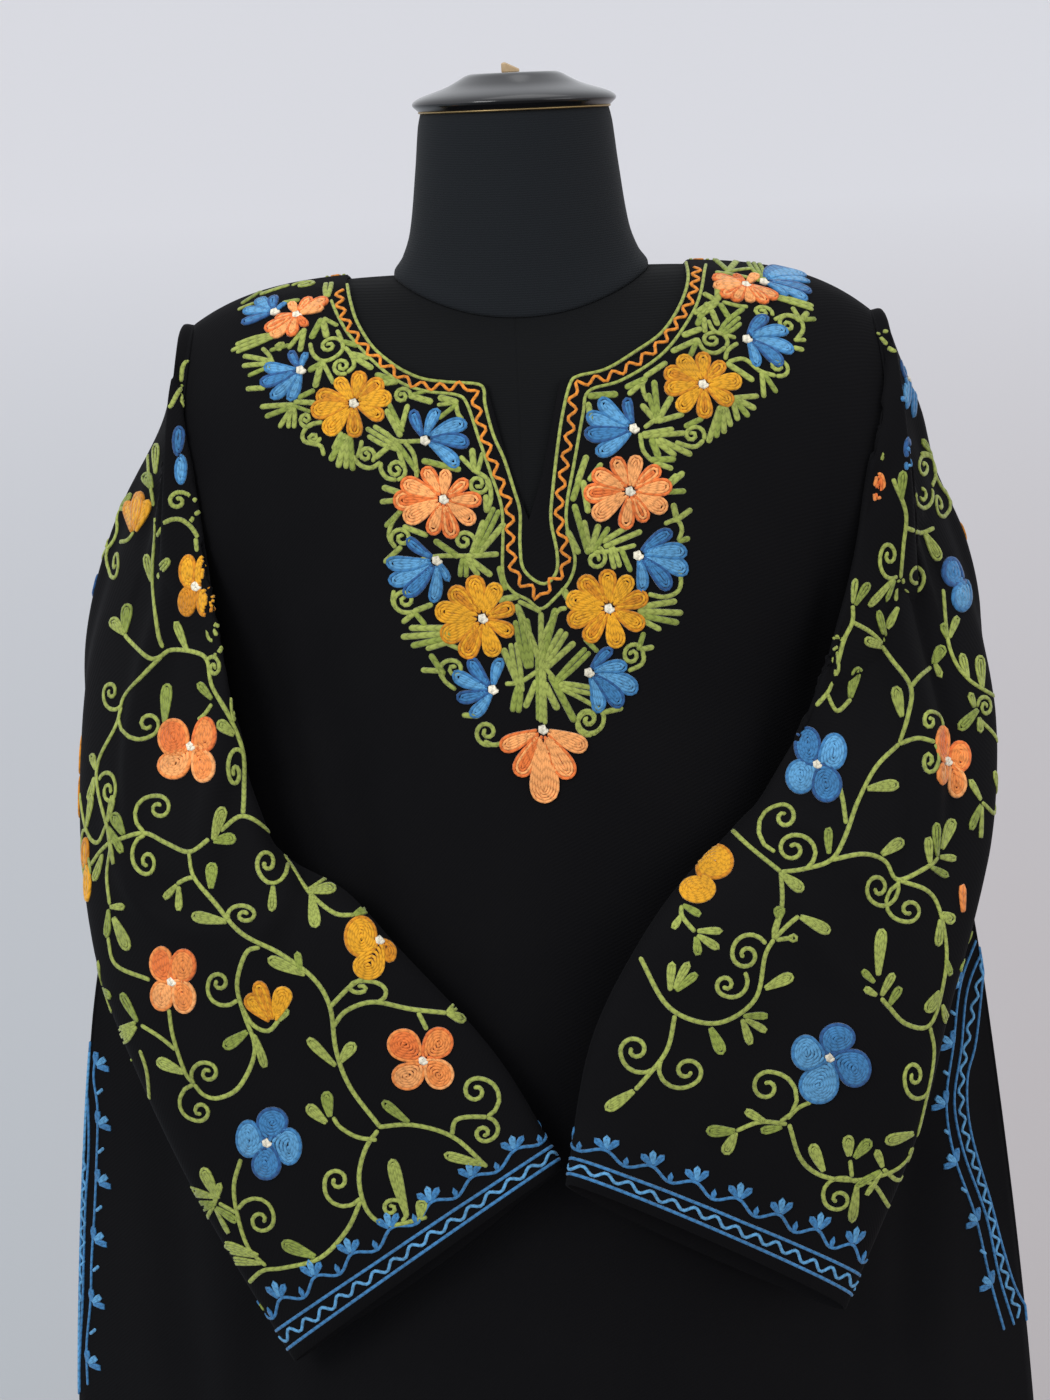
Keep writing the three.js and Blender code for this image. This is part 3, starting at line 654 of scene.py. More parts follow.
def panelChart(side, down):
    # a grid of the panel in even steps down, with its width shared evenly at each row
    drops = np.arange(0, cut["hemDrop"])
    line = clothPoint(side, np.full_like(drops, 90.0), drops)
    length = lengthAlong(line)
    rowDrops = np.interp(np.arange(0, down, chartSizes["step"]), length, drops)
    half, shift = halfAndShift(rowDrops)
    x = shift[:, None] + half[:, None] * np.linspace(-1, 1, chartSizes["panelColumns"])
    points = clothPoint(side, x, np.broadcast_to(rowDrops[:, None], x.shape))
    span = 2 * half / (chartSizes["panelColumns"] - 1)
    return makeChart(points, -1 if side == "front" else 1, shift - half, span, 0, chartSizes["panelColumns"])


def sleeveChart(hand):
    # the sleeve in even steps along, with its first and last columns laid on again past the seam
    grid, along, around = creasedSleeve(hand)
    at = np.arange(0, along[-1], chartSizes["step"])
    j = np.clip(np.searchsorted(along, at) - 1, 0, len(along) - 2)
    t = ((at - along[j]) / (along[j + 1] - along[j]))[:, None, None]
    even = grid[j] * (1 - t) + grid[j + 1] * t
    pad = chartSizes["overlap"]
    padded = np.concatenate([even[:, -pad:], even, even[:, :pad + 1]], 1)
    span = np.interp(at, along, around) / grid.shape[1]
    return makeChart(padded, hand, np.zeros(len(at)), span, pad, pad + int(0.8 * grid.shape[1]))


def toPlace(chart, drawn):
    # mm on the cloth made columns and rows of its chart
    row = drawn[:, 1] / chartSizes["step"]
    left, span = (np.interp(row, np.arange(len(chart[key])), chart[key]) for key in ("left", "span"))
    return np.stack([chart["offset"] + (drawn[:, 0] - left) / span, row], -1)


def fromView(chart, pixels, withMiss=False):
    # where on the chart the camera sees a pixel: the nearest node, then steps along the chart's own slopes
    pixels = np.atleast_2d(np.array(pixels, float))
    cell = chartSizes["cell"]
    spots = (pixels // cell).astype(int)
    spots = np.clip(spots, 0, np.array(chart["cells"].shape[1::-1]) - 1)
    place = chart["cells"][spots[:, 1], spots[:, 0]]
    nearest = place
    for _ in range(6):
        here, across, down = (between(chart[key], place) for key in ("pixels", "across", "down"))
        miss = pixels - here
        area = across[:, 0] * down[:, 1] - across[:, 1] * down[:, 0]
        area = np.where(np.abs(area) < 0.4, np.where(area < 0, -0.4, 0.4), area)
        step = np.stack([miss[:, 0] * down[:, 1] - miss[:, 1] * down[:, 0],
                         across[:, 0] * miss[:, 1] - across[:, 1] * miss[:, 0]], -1) / area[:, None]
        place = np.clip(place + np.clip(step, -1, 1), nearest - 2, nearest + 2)
    left, span = (np.interp(place[:, 1], np.arange(len(chart[key])), chart[key]) for key in ("left", "span"))
    drawn = np.stack([left + (place[:, 0] - chart["offset"]) * span, place[:, 1] * chartSizes["step"]], -1)
    miss = np.linalg.norm(pixels - between(chart["pixels"], place), axis=1)
    return (drawn, miss) if withMiss else drawn


def seenRows(chart, rows, widened=False):
    # rows drawn as the camera sees them, laid on the cloth point by point and cut where it turns away
    lines = []
    for line, *_ in rows:
        length = lengthAlong(line)
        at = np.linspace(0, length[-1], max(int(length[-1] / 1.4), 2) + 1)
        lines.append(pointsAt(line, length, at))
    drawn, miss = fromView(chart, np.concatenate(lines) / px, True)
    place = toPlace(chart, drawn)
    toward = unit(cameraPlace - between(chart["points"], place))
    facing = (unit(between(chart["normals"], place)) * toward).sum(-1)
    widen = 1 / np.clip(np.abs(facing), 0.45, 1)
    broken = (np.linalg.norm(np.diff(drawn, axis=0), axis=1) > 7) | (miss[1:] > 2.5) | (miss[:-1] > 2.5)
    broken |= facing[1:] * facing[:-1] < 0
    laid, start = [], 0
    for (_, thread, wide, raised, _), line in zip(rows, lines):
        index = np.arange(start, start + len(line))
        for part in np.split(index, np.nonzero(broken[index[:-1]])[0] + 1):
            if len(part) > 1:
                laid.append((drawn[part], thread, wide * (widen[part].mean() if widened else 1), raised,
                             np.sign(facing[part].sum())))
        start += len(line)
    return laid


def throughKnots(knots, pieces=6):
    # a smooth line through a few knots: Catmull-Rom, each span cut into equal shares
    knots = np.array(knots, float)
    if len(knots) < 3:
        return knots[0] + (knots[-1] - knots[0]) * np.linspace(0, 1, pieces)[:, None]
    padded = np.concatenate([2 * knots[:1] - knots[1:2], knots, 2 * knots[-1:] - knots[-2:-1]])
    t = (np.arange(pieces) / pieces)[None, :, None]
    a, b, c, d = (padded[k:len(knots) - 1 + k, None] for k in range(4))
    line = 0.5 * (2 * b + (c - a) * t + (2 * a - 5 * b + 4 * c - d) * t**2 + (3 * b - a - 3 * c + d) * t**3)
    return np.concatenate([line.reshape(-1, 2), knots[-1:]])


def addRow(rows, line, thread, wide=None, raised=0.0):
    rows.append((np.array(line, float), threadNames.index(thread), wide or stitch["row"] * 1.35, raised, 1))


def addPetal(rows, base, tip, wide, pair, bend=0.0, raised=0.2):
    # rows nested inside an outline that is narrow at the base, widest past the middle and round at the tip
    reach = np.linalg.norm(tip - base)
    ahead = (tip - base) / max(reach, 1e-6)
    aside = np.array([-ahead[1], ahead[0]])
    share = np.sin(np.pi / 2 * np.linspace(0.06, 1, 9))
    row = stitch["row"]
    for k in range(8):
        inset = (k + 0.5) * row
        half, length, start = wide / 2 - inset, reach - inset, min(k * row * 0.9, reach * 0.5)
        if half < 0.3 * row or length - start < row:
            if half > -0.3 * row and length - start > row:
                along = start + np.linspace(0, 1, 5)[:, None] * (length - start)
                mid = base + ahead * along + aside * bend * reach * (along / reach)**2
                addRow(rows, mid, pair[-1], raised=raised)
            break
        edge = half * 1.48 * share**0.9 * np.sqrt(1 - share**5)
        along = start + share * (length - start)
        curve = bend * reach * (along / reach) ** 2
        left = base + ahead * along[:, None] + aside * (curve + edge)[:, None]
        right = base + ahead * along[:, None] + aside * (curve - edge)[:, None]
        addRow(rows, np.concatenate([left, right[::-1][1:]]), pair[min(k, len(pair) - 1)], raised=raised)


def addRings(rows, middle, radii, centre, pair, raised=0.2):
    # a round petal wound inwards ring by ring, drawn out towards the flower's centre
    toward = centre - middle
    reach = np.linalg.norm(toward)
    toward = toward / reach
    edge = 1 / np.linalg.norm(toward / radii)
    gap = max(reach - edge, 0)
    row, start = stitch["row"], np.arctan2(toward[1], toward[0])
    rounds = max(radii.min() / row - 0.5, 1)
    for first, last, thread in ((0, 1, pair[0]), (1, rounds, pair[-1])):
        q = np.arange(first, last + 0.03, 1 / 18)
        way = compass(start + 2 * np.pi * q)
        inset = row * (q + 0.5)[:, None]
        pull = (np.clip(way @ toward, 0, 1) ** 4)[:, None] * gap * np.clip(1 - inset / edge, 0, 1)
        if len(q) > 2:
            line = middle + np.maximum(radii - inset, 0.15) * way + pull * toward
            addRow(rows, line, thread, raised=raised)


def addDisc(rows, middle, radius, thread="cream"):
    # a knot: one row wound in to the middle
    turn = np.linspace(0, 4.5 * np.pi, 20)
    ring = compass(turn) * np.linspace(radius * 0.75, 0.1, 20)[:, None]
    addRow(rows, middle + ring, thread, radius * 0.8, 0.55)


def addFlower(rows, middle, tips, pairs, wide=0.44, core=3.1, bend=0.0, raised=0.2):
    # petals from the middle to each tip, every other one a little higher
    for i, tip in enumerate(tips):
        out = tip - middle
        reach = np.linalg.norm(out)
        addPetal(rows, middle + out / reach * core * 0.25, tip, wide * reach, pairs[i % len(pairs)], bend,
                 raised + 0.08 * (i % 2))
    addDisc(rows, middle, core)


def addLeaf(rows, base, tip, wide, thread="leafGreen"):
    # one straight stitch where it is narrow, a petal where it is wide
    if wide < 1.7 * stitch["row"]:
        addRow(rows, throughKnots([base, tip], 5), thread, max(wide, stitch["border"]))
    else:
        addPetal(rows, base, tip, wide, (thread,), 0.04, 0.08)


def addCurl(rows, start, centre, radii, winding, thread="leafGreen"):
    # a spiral that leaves the stem, reaches its own radius in a quarter turn and winds in to the middle
    away = (start - centre) / radii
    q = np.linspace(0, 1, 26)
    angle = np.arctan2(away[1], away[0]) + winding * q * 3.1 * np.pi
    spread = np.linalg.norm(away) * (1 - smooth(q, 0, 0.25)) + (1 - 0.82 * q) * smooth(q, 0, 0.25)
    line = centre + compass(angle) * (spread[:, None] * radii)
    addRow(rows, line, thread, stitch["stem"] * 0.95)


def addZigzag(rows, knots, pitch, swing, thread="zigzag"):
    # corners set off to either side of a smooth line in turn, a little unevenly
    line = throughKnots(knots, 12)
    length = lengthAlong(line)
    at = np.arange(0, length[-1], pitch / 2)
    middle = pointsAt(line, length, at)
    ahead = unit(np.gradient(middle, axis=0))
    side = np.stack([-ahead[:, 1], ahead[:, 0]], -1)
    uneven = 1 + 0.18 * np.sin(at * 0.61)
    corners = middle + side * (swing * uneven * np.where(np.arange(len(at)) % 2, 1, -1))[:, None]
    addRow(rows, throughKnots(corners, 5), thread, stitch["border"], 0.1)


def addSprig(rows, base, toward, size, pair=("leafGreen",), petals=3):
    # small leaves fanned about one direction
    angle = np.arctan2(toward[1], toward[0])
    for k in range(petals):
        a = angle + (k - (petals - 1) / 2) * 0.75
        addLeaf(rows, base, base + size * compass(a), 3.6, pair[k % len(pair)])


def sew(name, chart, rows):
    # each row is walked in equal steps, with two closer rings at each end that round it off
    lines, lengths, scales, kept = [], [], [], []
    for line, colour, width, up, face in rows:
        length = lengthAlong(line)
        total = length[-1]
        if total < 1.2:
            continue
        inner = min(width * 0.45, total * 0.3)
        count = max(int(round((total - 2 * inner) / stitch["step"])), 1)
        even = np.linspace(inner, total - inner, count + 1)
        at = np.concatenate([[0, inner * 0.4], even, [total - inner * 0.4, total]])
        lines.append(pointsAt(line, length, at))
        scale = np.ones(len(at))
        scale[[0, -1]], scale[[1, -2]] = 0.4, 0.82
        scales.append(scale)
        lengths.append(at)
        kept.append((colour, width, up, face))
    counts = np.array([len(at) for at in lengths])
    colours, wide, raised, faced = (np.repeat(values, counts) for values in zip(*kept))
    drawn, scales, lengths = np.concatenate(lines), np.concatenate(scales), np.concatenate(lengths)
    last = np.cumsum(counts) - 1
    first = last - counts + 1
    index = np.arange(len(drawn))
    ahead, behind = index + 1, index - 1
    ahead[last], behind[first] = last, first
    place = toPlace(chart, drawn)
    points, normals = between(chart["points"], place), unit(between(chart["normals"], place)) * faced[:, None]
    points = points + normals * np.where(faced < 0, clothWall, 0)[:, None]
    aside = unit(np.cross(normals, points[ahead] - points[behind]))
    profile = np.array([(-0.5, 0), (-0.33, 1), (0.33, 1), (0.5, 0)])
    out = profile[:, 0][None] * (wide * scales)[:, None]
    up = (profile[:, 1][None] * (stitch["high"] * scales)[:, None] + raised[:, None] * (profile[:, 1] > 0)
          - stitch["under"] * (profile[:, 1] == 0)[None])
    ring = points[:, None] + aside[:, None] * out[..., None] + normals[:, None] * up[..., None]
    starts = np.delete(index, last)
    corners = starts[:, None] * 4 + np.arange(4)[None]
    turned4 = starts[:, None] * 4 + (np.arange(4)[None] + 1) % 4
    faces = np.stack([corners + 4, turned4 + 4, turned4, corners], -1).reshape(-1, 4)
    caps = np.concatenate([first[:, None] * 4 + np.arange(4), last[:, None] * 4 + np.array([3, 2, 1, 0])])
    faces = np.concatenate([faces, caps])
    uv = np.stack([np.repeat(lengths, 4), out.ravel()], -1)
    piece = writeMesh(name, ring.reshape(-1, 3), faces, uv)
    used, slots = np.unique(colours, return_inverse=True)
    for colour in used:
        piece.data.materials.append(threadMaterials[colour])
    faceSlots = np.concatenate([np.repeat(slots[starts], 4), slots[first], slots[last]])
    piece.data.polygons.foreach_set("material_index", faceSlots.astype(np.int32))
    piece.data.update()
    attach(piece, "root")
    print(name, "rows", len(counts), "triangles", 2 * len(faces))
    return piece


charts = {"front": panelChart("front", 760), "back": panelChart("back", 130),
          -1: sleeveChart(-1), 1: sleeveChart(1)}
print("charts made")

# The neck border, given where the camera sees it: two green rows with a zigzag between, open down the slit.
neckBorder = {
    "inner": [(347, 284), (350, 300), (357, 322), (372, 346), (390, 362), (406, 372), (424, 379),
              (447, 382), (477, 384), (484, 390), (485, 404), (493, 434), (504, 459), (514, 490),
              (520, 512), (520, 545), (524, 570), (543, 584), (556, 573), (557, 552), (551, 520),
              (553, 488), (558, 444), (563, 412), (570, 384), (578, 376), (606, 369), (636, 351),
              (662, 332), (680, 305), (688, 280), (686, 262)],
    "outer": [(331, 300), (338, 316), (350, 336), (372, 360), (398, 381), (425, 391), (457, 395),
              (467, 404), (478, 436), (491, 474), (501, 504), (503, 531), (503, 574), (512, 591),
              (528, 600), (541, 609), (556, 597), (570, 580), (575, 558), (567, 528), (567, 503),
              (574, 464), (583, 414), (589, 391), (622, 380), (660, 356), (684, 327), (700, 295), (706, 264)],
    "middle": [(340, 290), (341, 308), (352, 330), (371, 353), (392, 370), (412, 384), (440, 388),
               (470, 388), (477, 412), (487, 446), (501, 482), (510, 508), (511, 540), (515, 574),
               (530, 589), (541, 600), (549, 586), (566, 568), (565, 545), (559, 515), (563, 470),
               (571, 420), (576, 386), (612, 376), (650, 354), (672, 330), (691, 298), (697, 266)],
    "behind": (2.0, 11.0),
    "pitch": 9.6,
    "swing": 2.2,
}

pairsOf = {
    "mustard": [("amber", "mustard"), ("mustard", "mustard"), ("amber", "mustard", "amber")],
    "peach": [("coral", "peach"), ("peach", "peach"), ("coral", "peach", "coral")],
    "blue": [("darkBlue", "blue"), ("blue", "lightBlue"), ("blue", "lightBlue", "lightBlue")],
}

# Yoke flowers: colour, centre, petal tips, petal width as a share of its length.
yokeFlowers = [
    ("mustard", (354, 403),
     [(361, 371), (337, 378), (316, 395), (311, 412), (325, 434), (355, 438), (384, 418), (392, 397),
      (383, 380)], 0.5),
    ("mustard", (703, 384),
     [(703, 352), (679, 356), (664, 371), (664, 389), (678, 411), (705, 419), (733, 404), (742, 381),
      (724, 362)], 0.5),
    ("mustard", (483, 618),
     [(473, 575), (498, 583), (515, 606), (514, 634), (495, 657), (464, 658), (441, 638), (435, 610),
      (450, 588)], 0.5),
    ("mustard", (609, 608),
     [(607, 569), (631, 576), (648, 596), (644, 627), (618, 648), (586, 642), (567, 622), (566, 598),
      (580, 577)], 0.5),
    ("peach", (444, 499),
     [(424, 467), (446, 469), (468, 480), (482, 500), (475, 523), (453, 539), (431, 535), (404, 520),
      (393, 501), (401, 482)], 0.46),
    ("peach", (630, 491),
     [(614, 457), (637, 455), (660, 467), (672, 486), (667, 510), (646, 522), (625, 530), (593, 518),
      (583, 494), (592, 472)], 0.46),
    ("blue", (301, 370), [(287, 353), (304, 352), (263, 372), (262, 389), (276, 402), (295, 402)], 0.42),
    ("blue", (425, 440), [(408, 412), (433, 407), (463, 416), (469, 436), (462, 461)], 0.42),
    ("blue", (437, 560), [(404, 543), (388, 571), (394, 590), (411, 601), (440, 603), (452, 580)], 0.38),
    ("blue", (493, 689), [(465, 662), (496, 657), (451, 680), (459, 704), (476, 720)], 0.44),
    ("blue", (747, 339), [(761, 313), (784, 325), (794, 345), (786, 361), (762, 366)], 0.42),
    ("blue", (634, 428), [(622, 399), (595, 405), (585, 423), (586, 442), (601, 460)], 0.42),
    ("blue", (638, 555), [(668, 526), (686, 544), (690, 563), (675, 583), (648, 590)], 0.42),
    ("blue", (589, 672), [(608, 645), (626, 660), (640, 682), (627, 700), (606, 710)], 0.44),
    ("peach", (543, 729), [(500, 748), (545, 803), (518, 776), (571, 778), (587, 748)], 0.42),
    ("blue", (275, 312), [(242, 326), (241, 314), (253, 302), (269, 298), (285, 302)], 0.42),
    ("peach", (297, 315),
     [(328, 299), (324, 307), (307, 327), (291, 337), (272, 338), (265, 331), (275, 319), (291, 303),
      (311, 298)], 0.46),
    ("blue", (764, 282), [(776, 265), (792, 268), (802, 276), (810, 288), (809, 297), (790, 295)], 0.4),
    ("peach", (746, 285),
     [(712, 277), (713, 287), (721, 297), (734, 302), (751, 303), (767, 304), (778, 299), (757, 275),
      (734, 275)], 0.46),
]

# Yoke leaves: from base to tip and width, where the camera sees them.
yokeLeaves = [
    (243, 303, 262, 291, 7), (262, 294, 290, 284, 8), (327, 296, 329, 282, 9), (284, 303, 300, 300, 7),
    (240, 309, 255, 303, 4), (272, 336, 231, 351, 12), (272, 350, 290, 345, 5), (272, 362, 243, 356, 6),
    (272, 364, 242, 366, 6), (272, 366, 248, 376, 5), (304, 330, 300, 352, 7), (302, 332, 288, 349, 6),
    (321, 320, 311, 339, 8), (323, 321, 327, 338, 8), (325, 319, 338, 326, 5), (344, 342, 359, 346, 7),
    (352, 354, 370, 358, 7), (352, 356, 373, 369, 7), (321, 364, 308, 371, 8), (321, 364, 315, 388, 8),
    (323, 363, 334, 384, 5), (389, 379, 375, 374, 7), (383, 383, 399, 381, 8), (263, 388, 246, 389, 6),
    (300, 397, 315, 390, 6), (296, 402, 316, 403, 6), (292, 405, 260, 407, 6), (292, 407, 265, 417, 6),
    (292, 408, 279, 428, 6), (293, 408, 291, 431, 9), (294, 406, 311, 412, 4), (397, 447, 366, 428, 13),
    (392, 444, 374, 459, 6), (399, 446, 419, 474, 6), (398, 447, 404, 468, 6), (400, 435, 386, 409, 7),
    (402, 430, 387, 400, 5), (402, 426, 408, 404, 6), (411, 396, 433, 402, 7), (411, 395, 427, 391, 4),
    (456, 402, 438, 397, 8), (456, 403, 437, 405, 4), (456, 405, 438, 419, 5), (474, 470, 472, 448, 7),
    (478, 470, 483, 452, 5), (424, 461, 461, 470, 7), (400, 493, 382, 487, 7), (399, 500, 380, 502, 6),
    (401, 511, 385, 527, 6), (400, 548, 384, 563, 6), (405, 527, 428, 536, 6), (457, 556, 434, 540, 7),
    (468, 556, 499, 554, 6), (468, 558, 492, 576, 7), (464, 560, 463, 580, 9), (467, 560, 479, 576, 6),
    (473, 551, 484, 520, 7), (476, 552, 498, 506, 9), (480, 552, 505, 523, 7), (486, 497, 487, 513, 7),
    (505, 588, 499, 566, 7), (415, 611, 433, 604, 6), (413, 614, 402, 623, 6), (416, 614, 426, 626, 6),
    (450, 628, 409, 628, 7), (450, 633, 401, 637, 7), (450, 637, 411, 646, 7), (452, 641, 426, 649, 6),
    (444, 642, 462, 650, 5), (443, 673, 430, 654, 7), (441, 671, 421, 670, 6), (477, 716, 462, 715, 6),
    (541, 664, 556, 608, 8), (543, 666, 566, 628, 10), (546, 668, 575, 642, 7), (556, 682, 590, 648, 9),
    (558, 684, 598, 692, 9), (540, 660, 516, 604, 8), (529, 666, 520, 614, 15), (521, 690, 503, 648, 8),
    (521, 690, 513, 640, 9), (519, 688, 515, 715, 11), (536, 682, 525, 708, 7), (545, 684, 558, 710, 8),
    (551, 676, 575, 722, 8), (541, 720, 541, 612, 6), (545, 722, 543, 640, 5), (538, 718, 537, 646, 4),
    (605, 712, 623, 708, 6), (643, 649, 654, 647, 6), (639, 648, 644, 632, 6), (640, 607, 677, 601, 7),
    (640, 611, 683, 613, 7), (640, 615, 679, 623, 7), (642, 620, 661, 630, 6), (612, 549, 618, 571, 9),
    (622, 551, 631, 572, 6), (606, 546, 642, 531, 6), (604, 541, 632, 524, 6), (588, 552, 574, 504, 7),
    (590, 550, 584, 520, 6), (591, 550, 599, 524, 7), (594, 550, 609, 527, 6), (578, 552, 567, 530, 7),
    (668, 486, 684, 472, 7), (668, 492, 686, 491, 6), (668, 483, 677, 474, 5), (678, 519, 692, 509, 6),
    (680, 541, 690, 538, 6), (677, 520, 673, 503, 7), (578, 481, 587, 455, 7), (573, 499, 580, 478, 7),
    (588, 511, 583, 480, 7), (590, 479, 602, 463, 6), (590, 396, 618, 394, 8), (591, 421, 588, 402, 7),
    (656, 421, 641, 404, 7), (656, 419, 648, 393, 6), (658, 420, 672, 396, 7), (659, 421, 684, 414, 6),
    (658, 418, 654, 380, 7), (644, 434, 674, 429, 6), (645, 436, 686, 433, 6), (652, 440, 659, 458, 8),
    (656, 441, 676, 456, 7), (660, 440, 692, 455, 7), (652, 460, 676, 459, 7), (656, 463, 673, 469, 6),
    (720, 408, 708, 443, 7), (721, 408, 716, 438, 7), (723, 408, 724, 434, 7), (725, 406, 731, 427, 7),
    (701, 419, 684, 427, 6), (735, 398, 759, 396, 6), (736, 399, 756, 409, 7), (735, 400, 749, 417, 7),
    (733, 401, 738, 421, 7), (646, 376, 667, 362, 6), (645, 379, 625, 388, 7), (644, 381, 628, 395, 6),
    (716, 302, 694, 317, 11), (707, 304, 697, 326, 7), (700, 329, 682, 336, 8), (697, 340, 671, 352, 7),
    (696, 343, 690, 357, 6), (704, 319, 705, 333, 6), (712, 311, 718, 326, 7), (721, 305, 729, 318, 7),
    (717, 301, 703, 293, 7), (718, 299, 718, 285, 8), (722, 333, 740, 317, 12), (728, 364, 754, 381, 7),
    (762, 374, 764, 398, 6), (765, 375, 777, 393, 6), (800, 320, 792, 307, 6), (801, 320, 808, 312, 7),
    (801, 320, 816, 319, 6), (796, 340, 806, 340, 5), (795, 348, 804, 350, 6), (727, 270, 712, 258, 7),
    (729, 270, 736, 259, 8), (727, 272, 751, 268, 6), (762, 280, 752, 260, 12), (775, 297, 816, 309, 9),
    (796, 270, 804, 264, 6), (728, 320, 744, 308, 6), (500, 600, 520, 596, 7), (572, 604, 562, 588, 8),
    (345, 436, 330, 461, 8), (346, 437, 338, 468, 8), (348, 437, 346, 469, 7), (350, 437, 353, 471, 7),
    (341, 434, 333, 450, 6), (430, 402, 413, 397, 6), (586, 640, 598, 652, 5), (392, 418, 402, 432, 7),
]

yokeStems = [
    [(310, 343), (313, 354), (322, 361), (334, 358), (343, 349), (341, 339), (337, 330)], [(345, 347),
    (352, 356), (354, 366), (347, 373)], [(262, 348), (269, 355), (273, 364)], [(323, 422), (310, 425),
    (303, 433), (304, 441), (314, 444), (321, 446), (324, 456)], [(352, 455), (360, 465), (371, 468),
    (381, 462)], [(362, 440), (360, 450), (357, 458)], [(381, 462), (381, 470), (387, 478), (397, 480)],
    [(385, 432), (397, 441), (422, 441)], [(404, 441), (414, 455), (417, 478)], [(456, 404), (458, 414),
    (463, 420)], [(460, 456), (474, 470), (488, 480), (491, 498), (487, 512)], [(401, 511), (392, 523),
    (389, 537), (396, 548)], [(420, 560), (440, 556), (470, 556)], [(394, 590), (393, 603), (402, 612),
    (417, 612)], [(441, 668), (444, 680), (456, 690)], [(505, 684), (520, 682), (536, 672), (541, 668)],
    [(505, 742), (494, 745), (484, 741)], [(560, 688), (582, 699), (602, 712), (602, 726), (592, 735)],
    [(628, 671), (642, 664), (644, 654)], [(648, 594), (665, 597), (679, 590), (680, 574), (670, 562)],
    [(593, 552), (612, 551), (636, 545)], [(664, 524), (677, 520), (682, 530), (678, 541)], [(644, 428),
    (652, 422), (657, 418)], [(640, 433), (643, 450), (652, 461)], [(675, 442), (694, 447), (704, 440)],
    [(643, 378), (643, 390), (648, 402)], [(697, 338), (704, 350), (716, 353), (726, 347)], [(708, 320),
    (714, 331), (726, 335), (736, 338)], [(738, 343), (728, 350), (725, 360)], [(728, 362), (744, 359),
    (760, 371), (776, 376)], [(715, 272), (740, 276), (760, 281)], [(748, 307), (738, 306), (722, 302)],
    [(774, 320), (787, 315), (800, 320), (803, 330), (796, 340)], [(556, 682), (548, 671), (541, 668)],
    [(541, 612), (529, 606), (518, 601)], [(541, 640), (557, 612), (567, 608)],
]
# Curls: where one leaves its stem, its middle, its radii and the way it winds.
yokeCurls = [
    (343, 349, 329, 346, 8, 8, -1), (347, 373, 342, 366, 8, 8, 1), (292, 286, 305, 284, 10, 8, 1),
    (313, 424, 306, 419, 6, 6, 1), (372, 462, 366, 455, 7, 7, -1), (397, 480, 396, 470, 9, 9, -1),
    (411, 397, 402, 396, 7, 7, -1), (486, 478, 478, 484, 9, 9, 1), (396, 548, 402, 538, 9, 9, 1),
    (470, 553, 464, 541, 9, 9, -1), (402, 612, 405, 600, 9, 9, 1), (444, 680, 454, 669, 9, 9, 1),
    (494, 744, 487, 732, 10, 10, 1), (602, 726, 588, 719, 11, 11, 1), (643, 658, 632, 655, 9, 10, -1),
    (585, 552, 596, 559, 10, 10, 1), (704, 440, 692, 435, 7, 7, -1), (726, 347, 712, 340, 10, 9, -1),
    (776, 376, 778, 366, 9, 8, -1), (800, 322, 787, 325, 8, 8, -1), (772, 316, 762, 312, 8, 7, -1),
    (320, 437, 314, 438, 6, 5, 1), (282, 349, 281, 346, 5, 4, 1), (592, 735, 588, 720, 9, 9, 1),
]


def sewTables(rows, place, leaves=(), stems=(), curls=(), thread="leafGreen", fingers=False):
    for number, (x0, y0, x1, y1, wide) in enumerate(leaves):
        base, tip = place([(x0, y0), (x1, y1)])
        base = base - unit(tip - base) * 1.3
        if fingers:
            addFingers(rows, base, tip, wide, thread if number % 3 else "green")
            continue
        addLeaf(rows, base, tip, (wide * 1.15 + 1.6) * px, thread if number % 3 else "green")
    for knots in stems:
        addRow(rows, throughKnots(place(knots)), thread, stitch["stem"])
    for x0, y0, x1, y1, wide, tall, winding in curls:
        start, middle = place([(x0, y0), (x1, y1)])
        addCurl(rows, start, middle, np.array([wide, tall]) * px * 1.12, winding, thread)


def addFingers(rows, base, tip, wide, thread):
    # a leaf of one to three straight stitches that part from one base
    count = 1 if wide < 9 else 2 if wide < 12 else 3
    ahead = unit(tip - base)
    aside = np.array([-ahead[1], ahead[0]]) * px
    for k in range(count):
        off = (k - (count - 1) / 2) * 5.4
        end = tip + aside * off - ahead * abs(off) * 0.5
        line = throughKnots([base + aside * off * 0.3, (base + end) / 2 + aside * off * 0.45, end])
        full = min(0.9 * wide / count + 1.4, 6.8) if count > 1 else 0.8 * wide + 1.1
        addRow(rows, line, thread, full * px)


def asSeen(pixels):
    return np.array(pixels, float) * px


def makeYoke():
    chart, flowers, greens = charts["front"], [], []
    for colour, middle, tips, wide in yokeFlowers:
        points = fromView(chart, [middle, *tips])
        bend = 0.16 if colour == "blue" else 0.0
        addFlower(flowers, points[0], points[1:], pairsOf[colour], wide * (0.86 if bend else 0.93), bend=bend,
                  raised=0.6 if colour == "peach" else 0.2)
    sewTables(greens, lambda pixels: fromView(chart, pixels), yokeLeaves, yokeStems, yokeCurls, fingers=True)
    return sew("yoke_flowers", chart, flowers), sew("yoke_leaves", chart, greens)


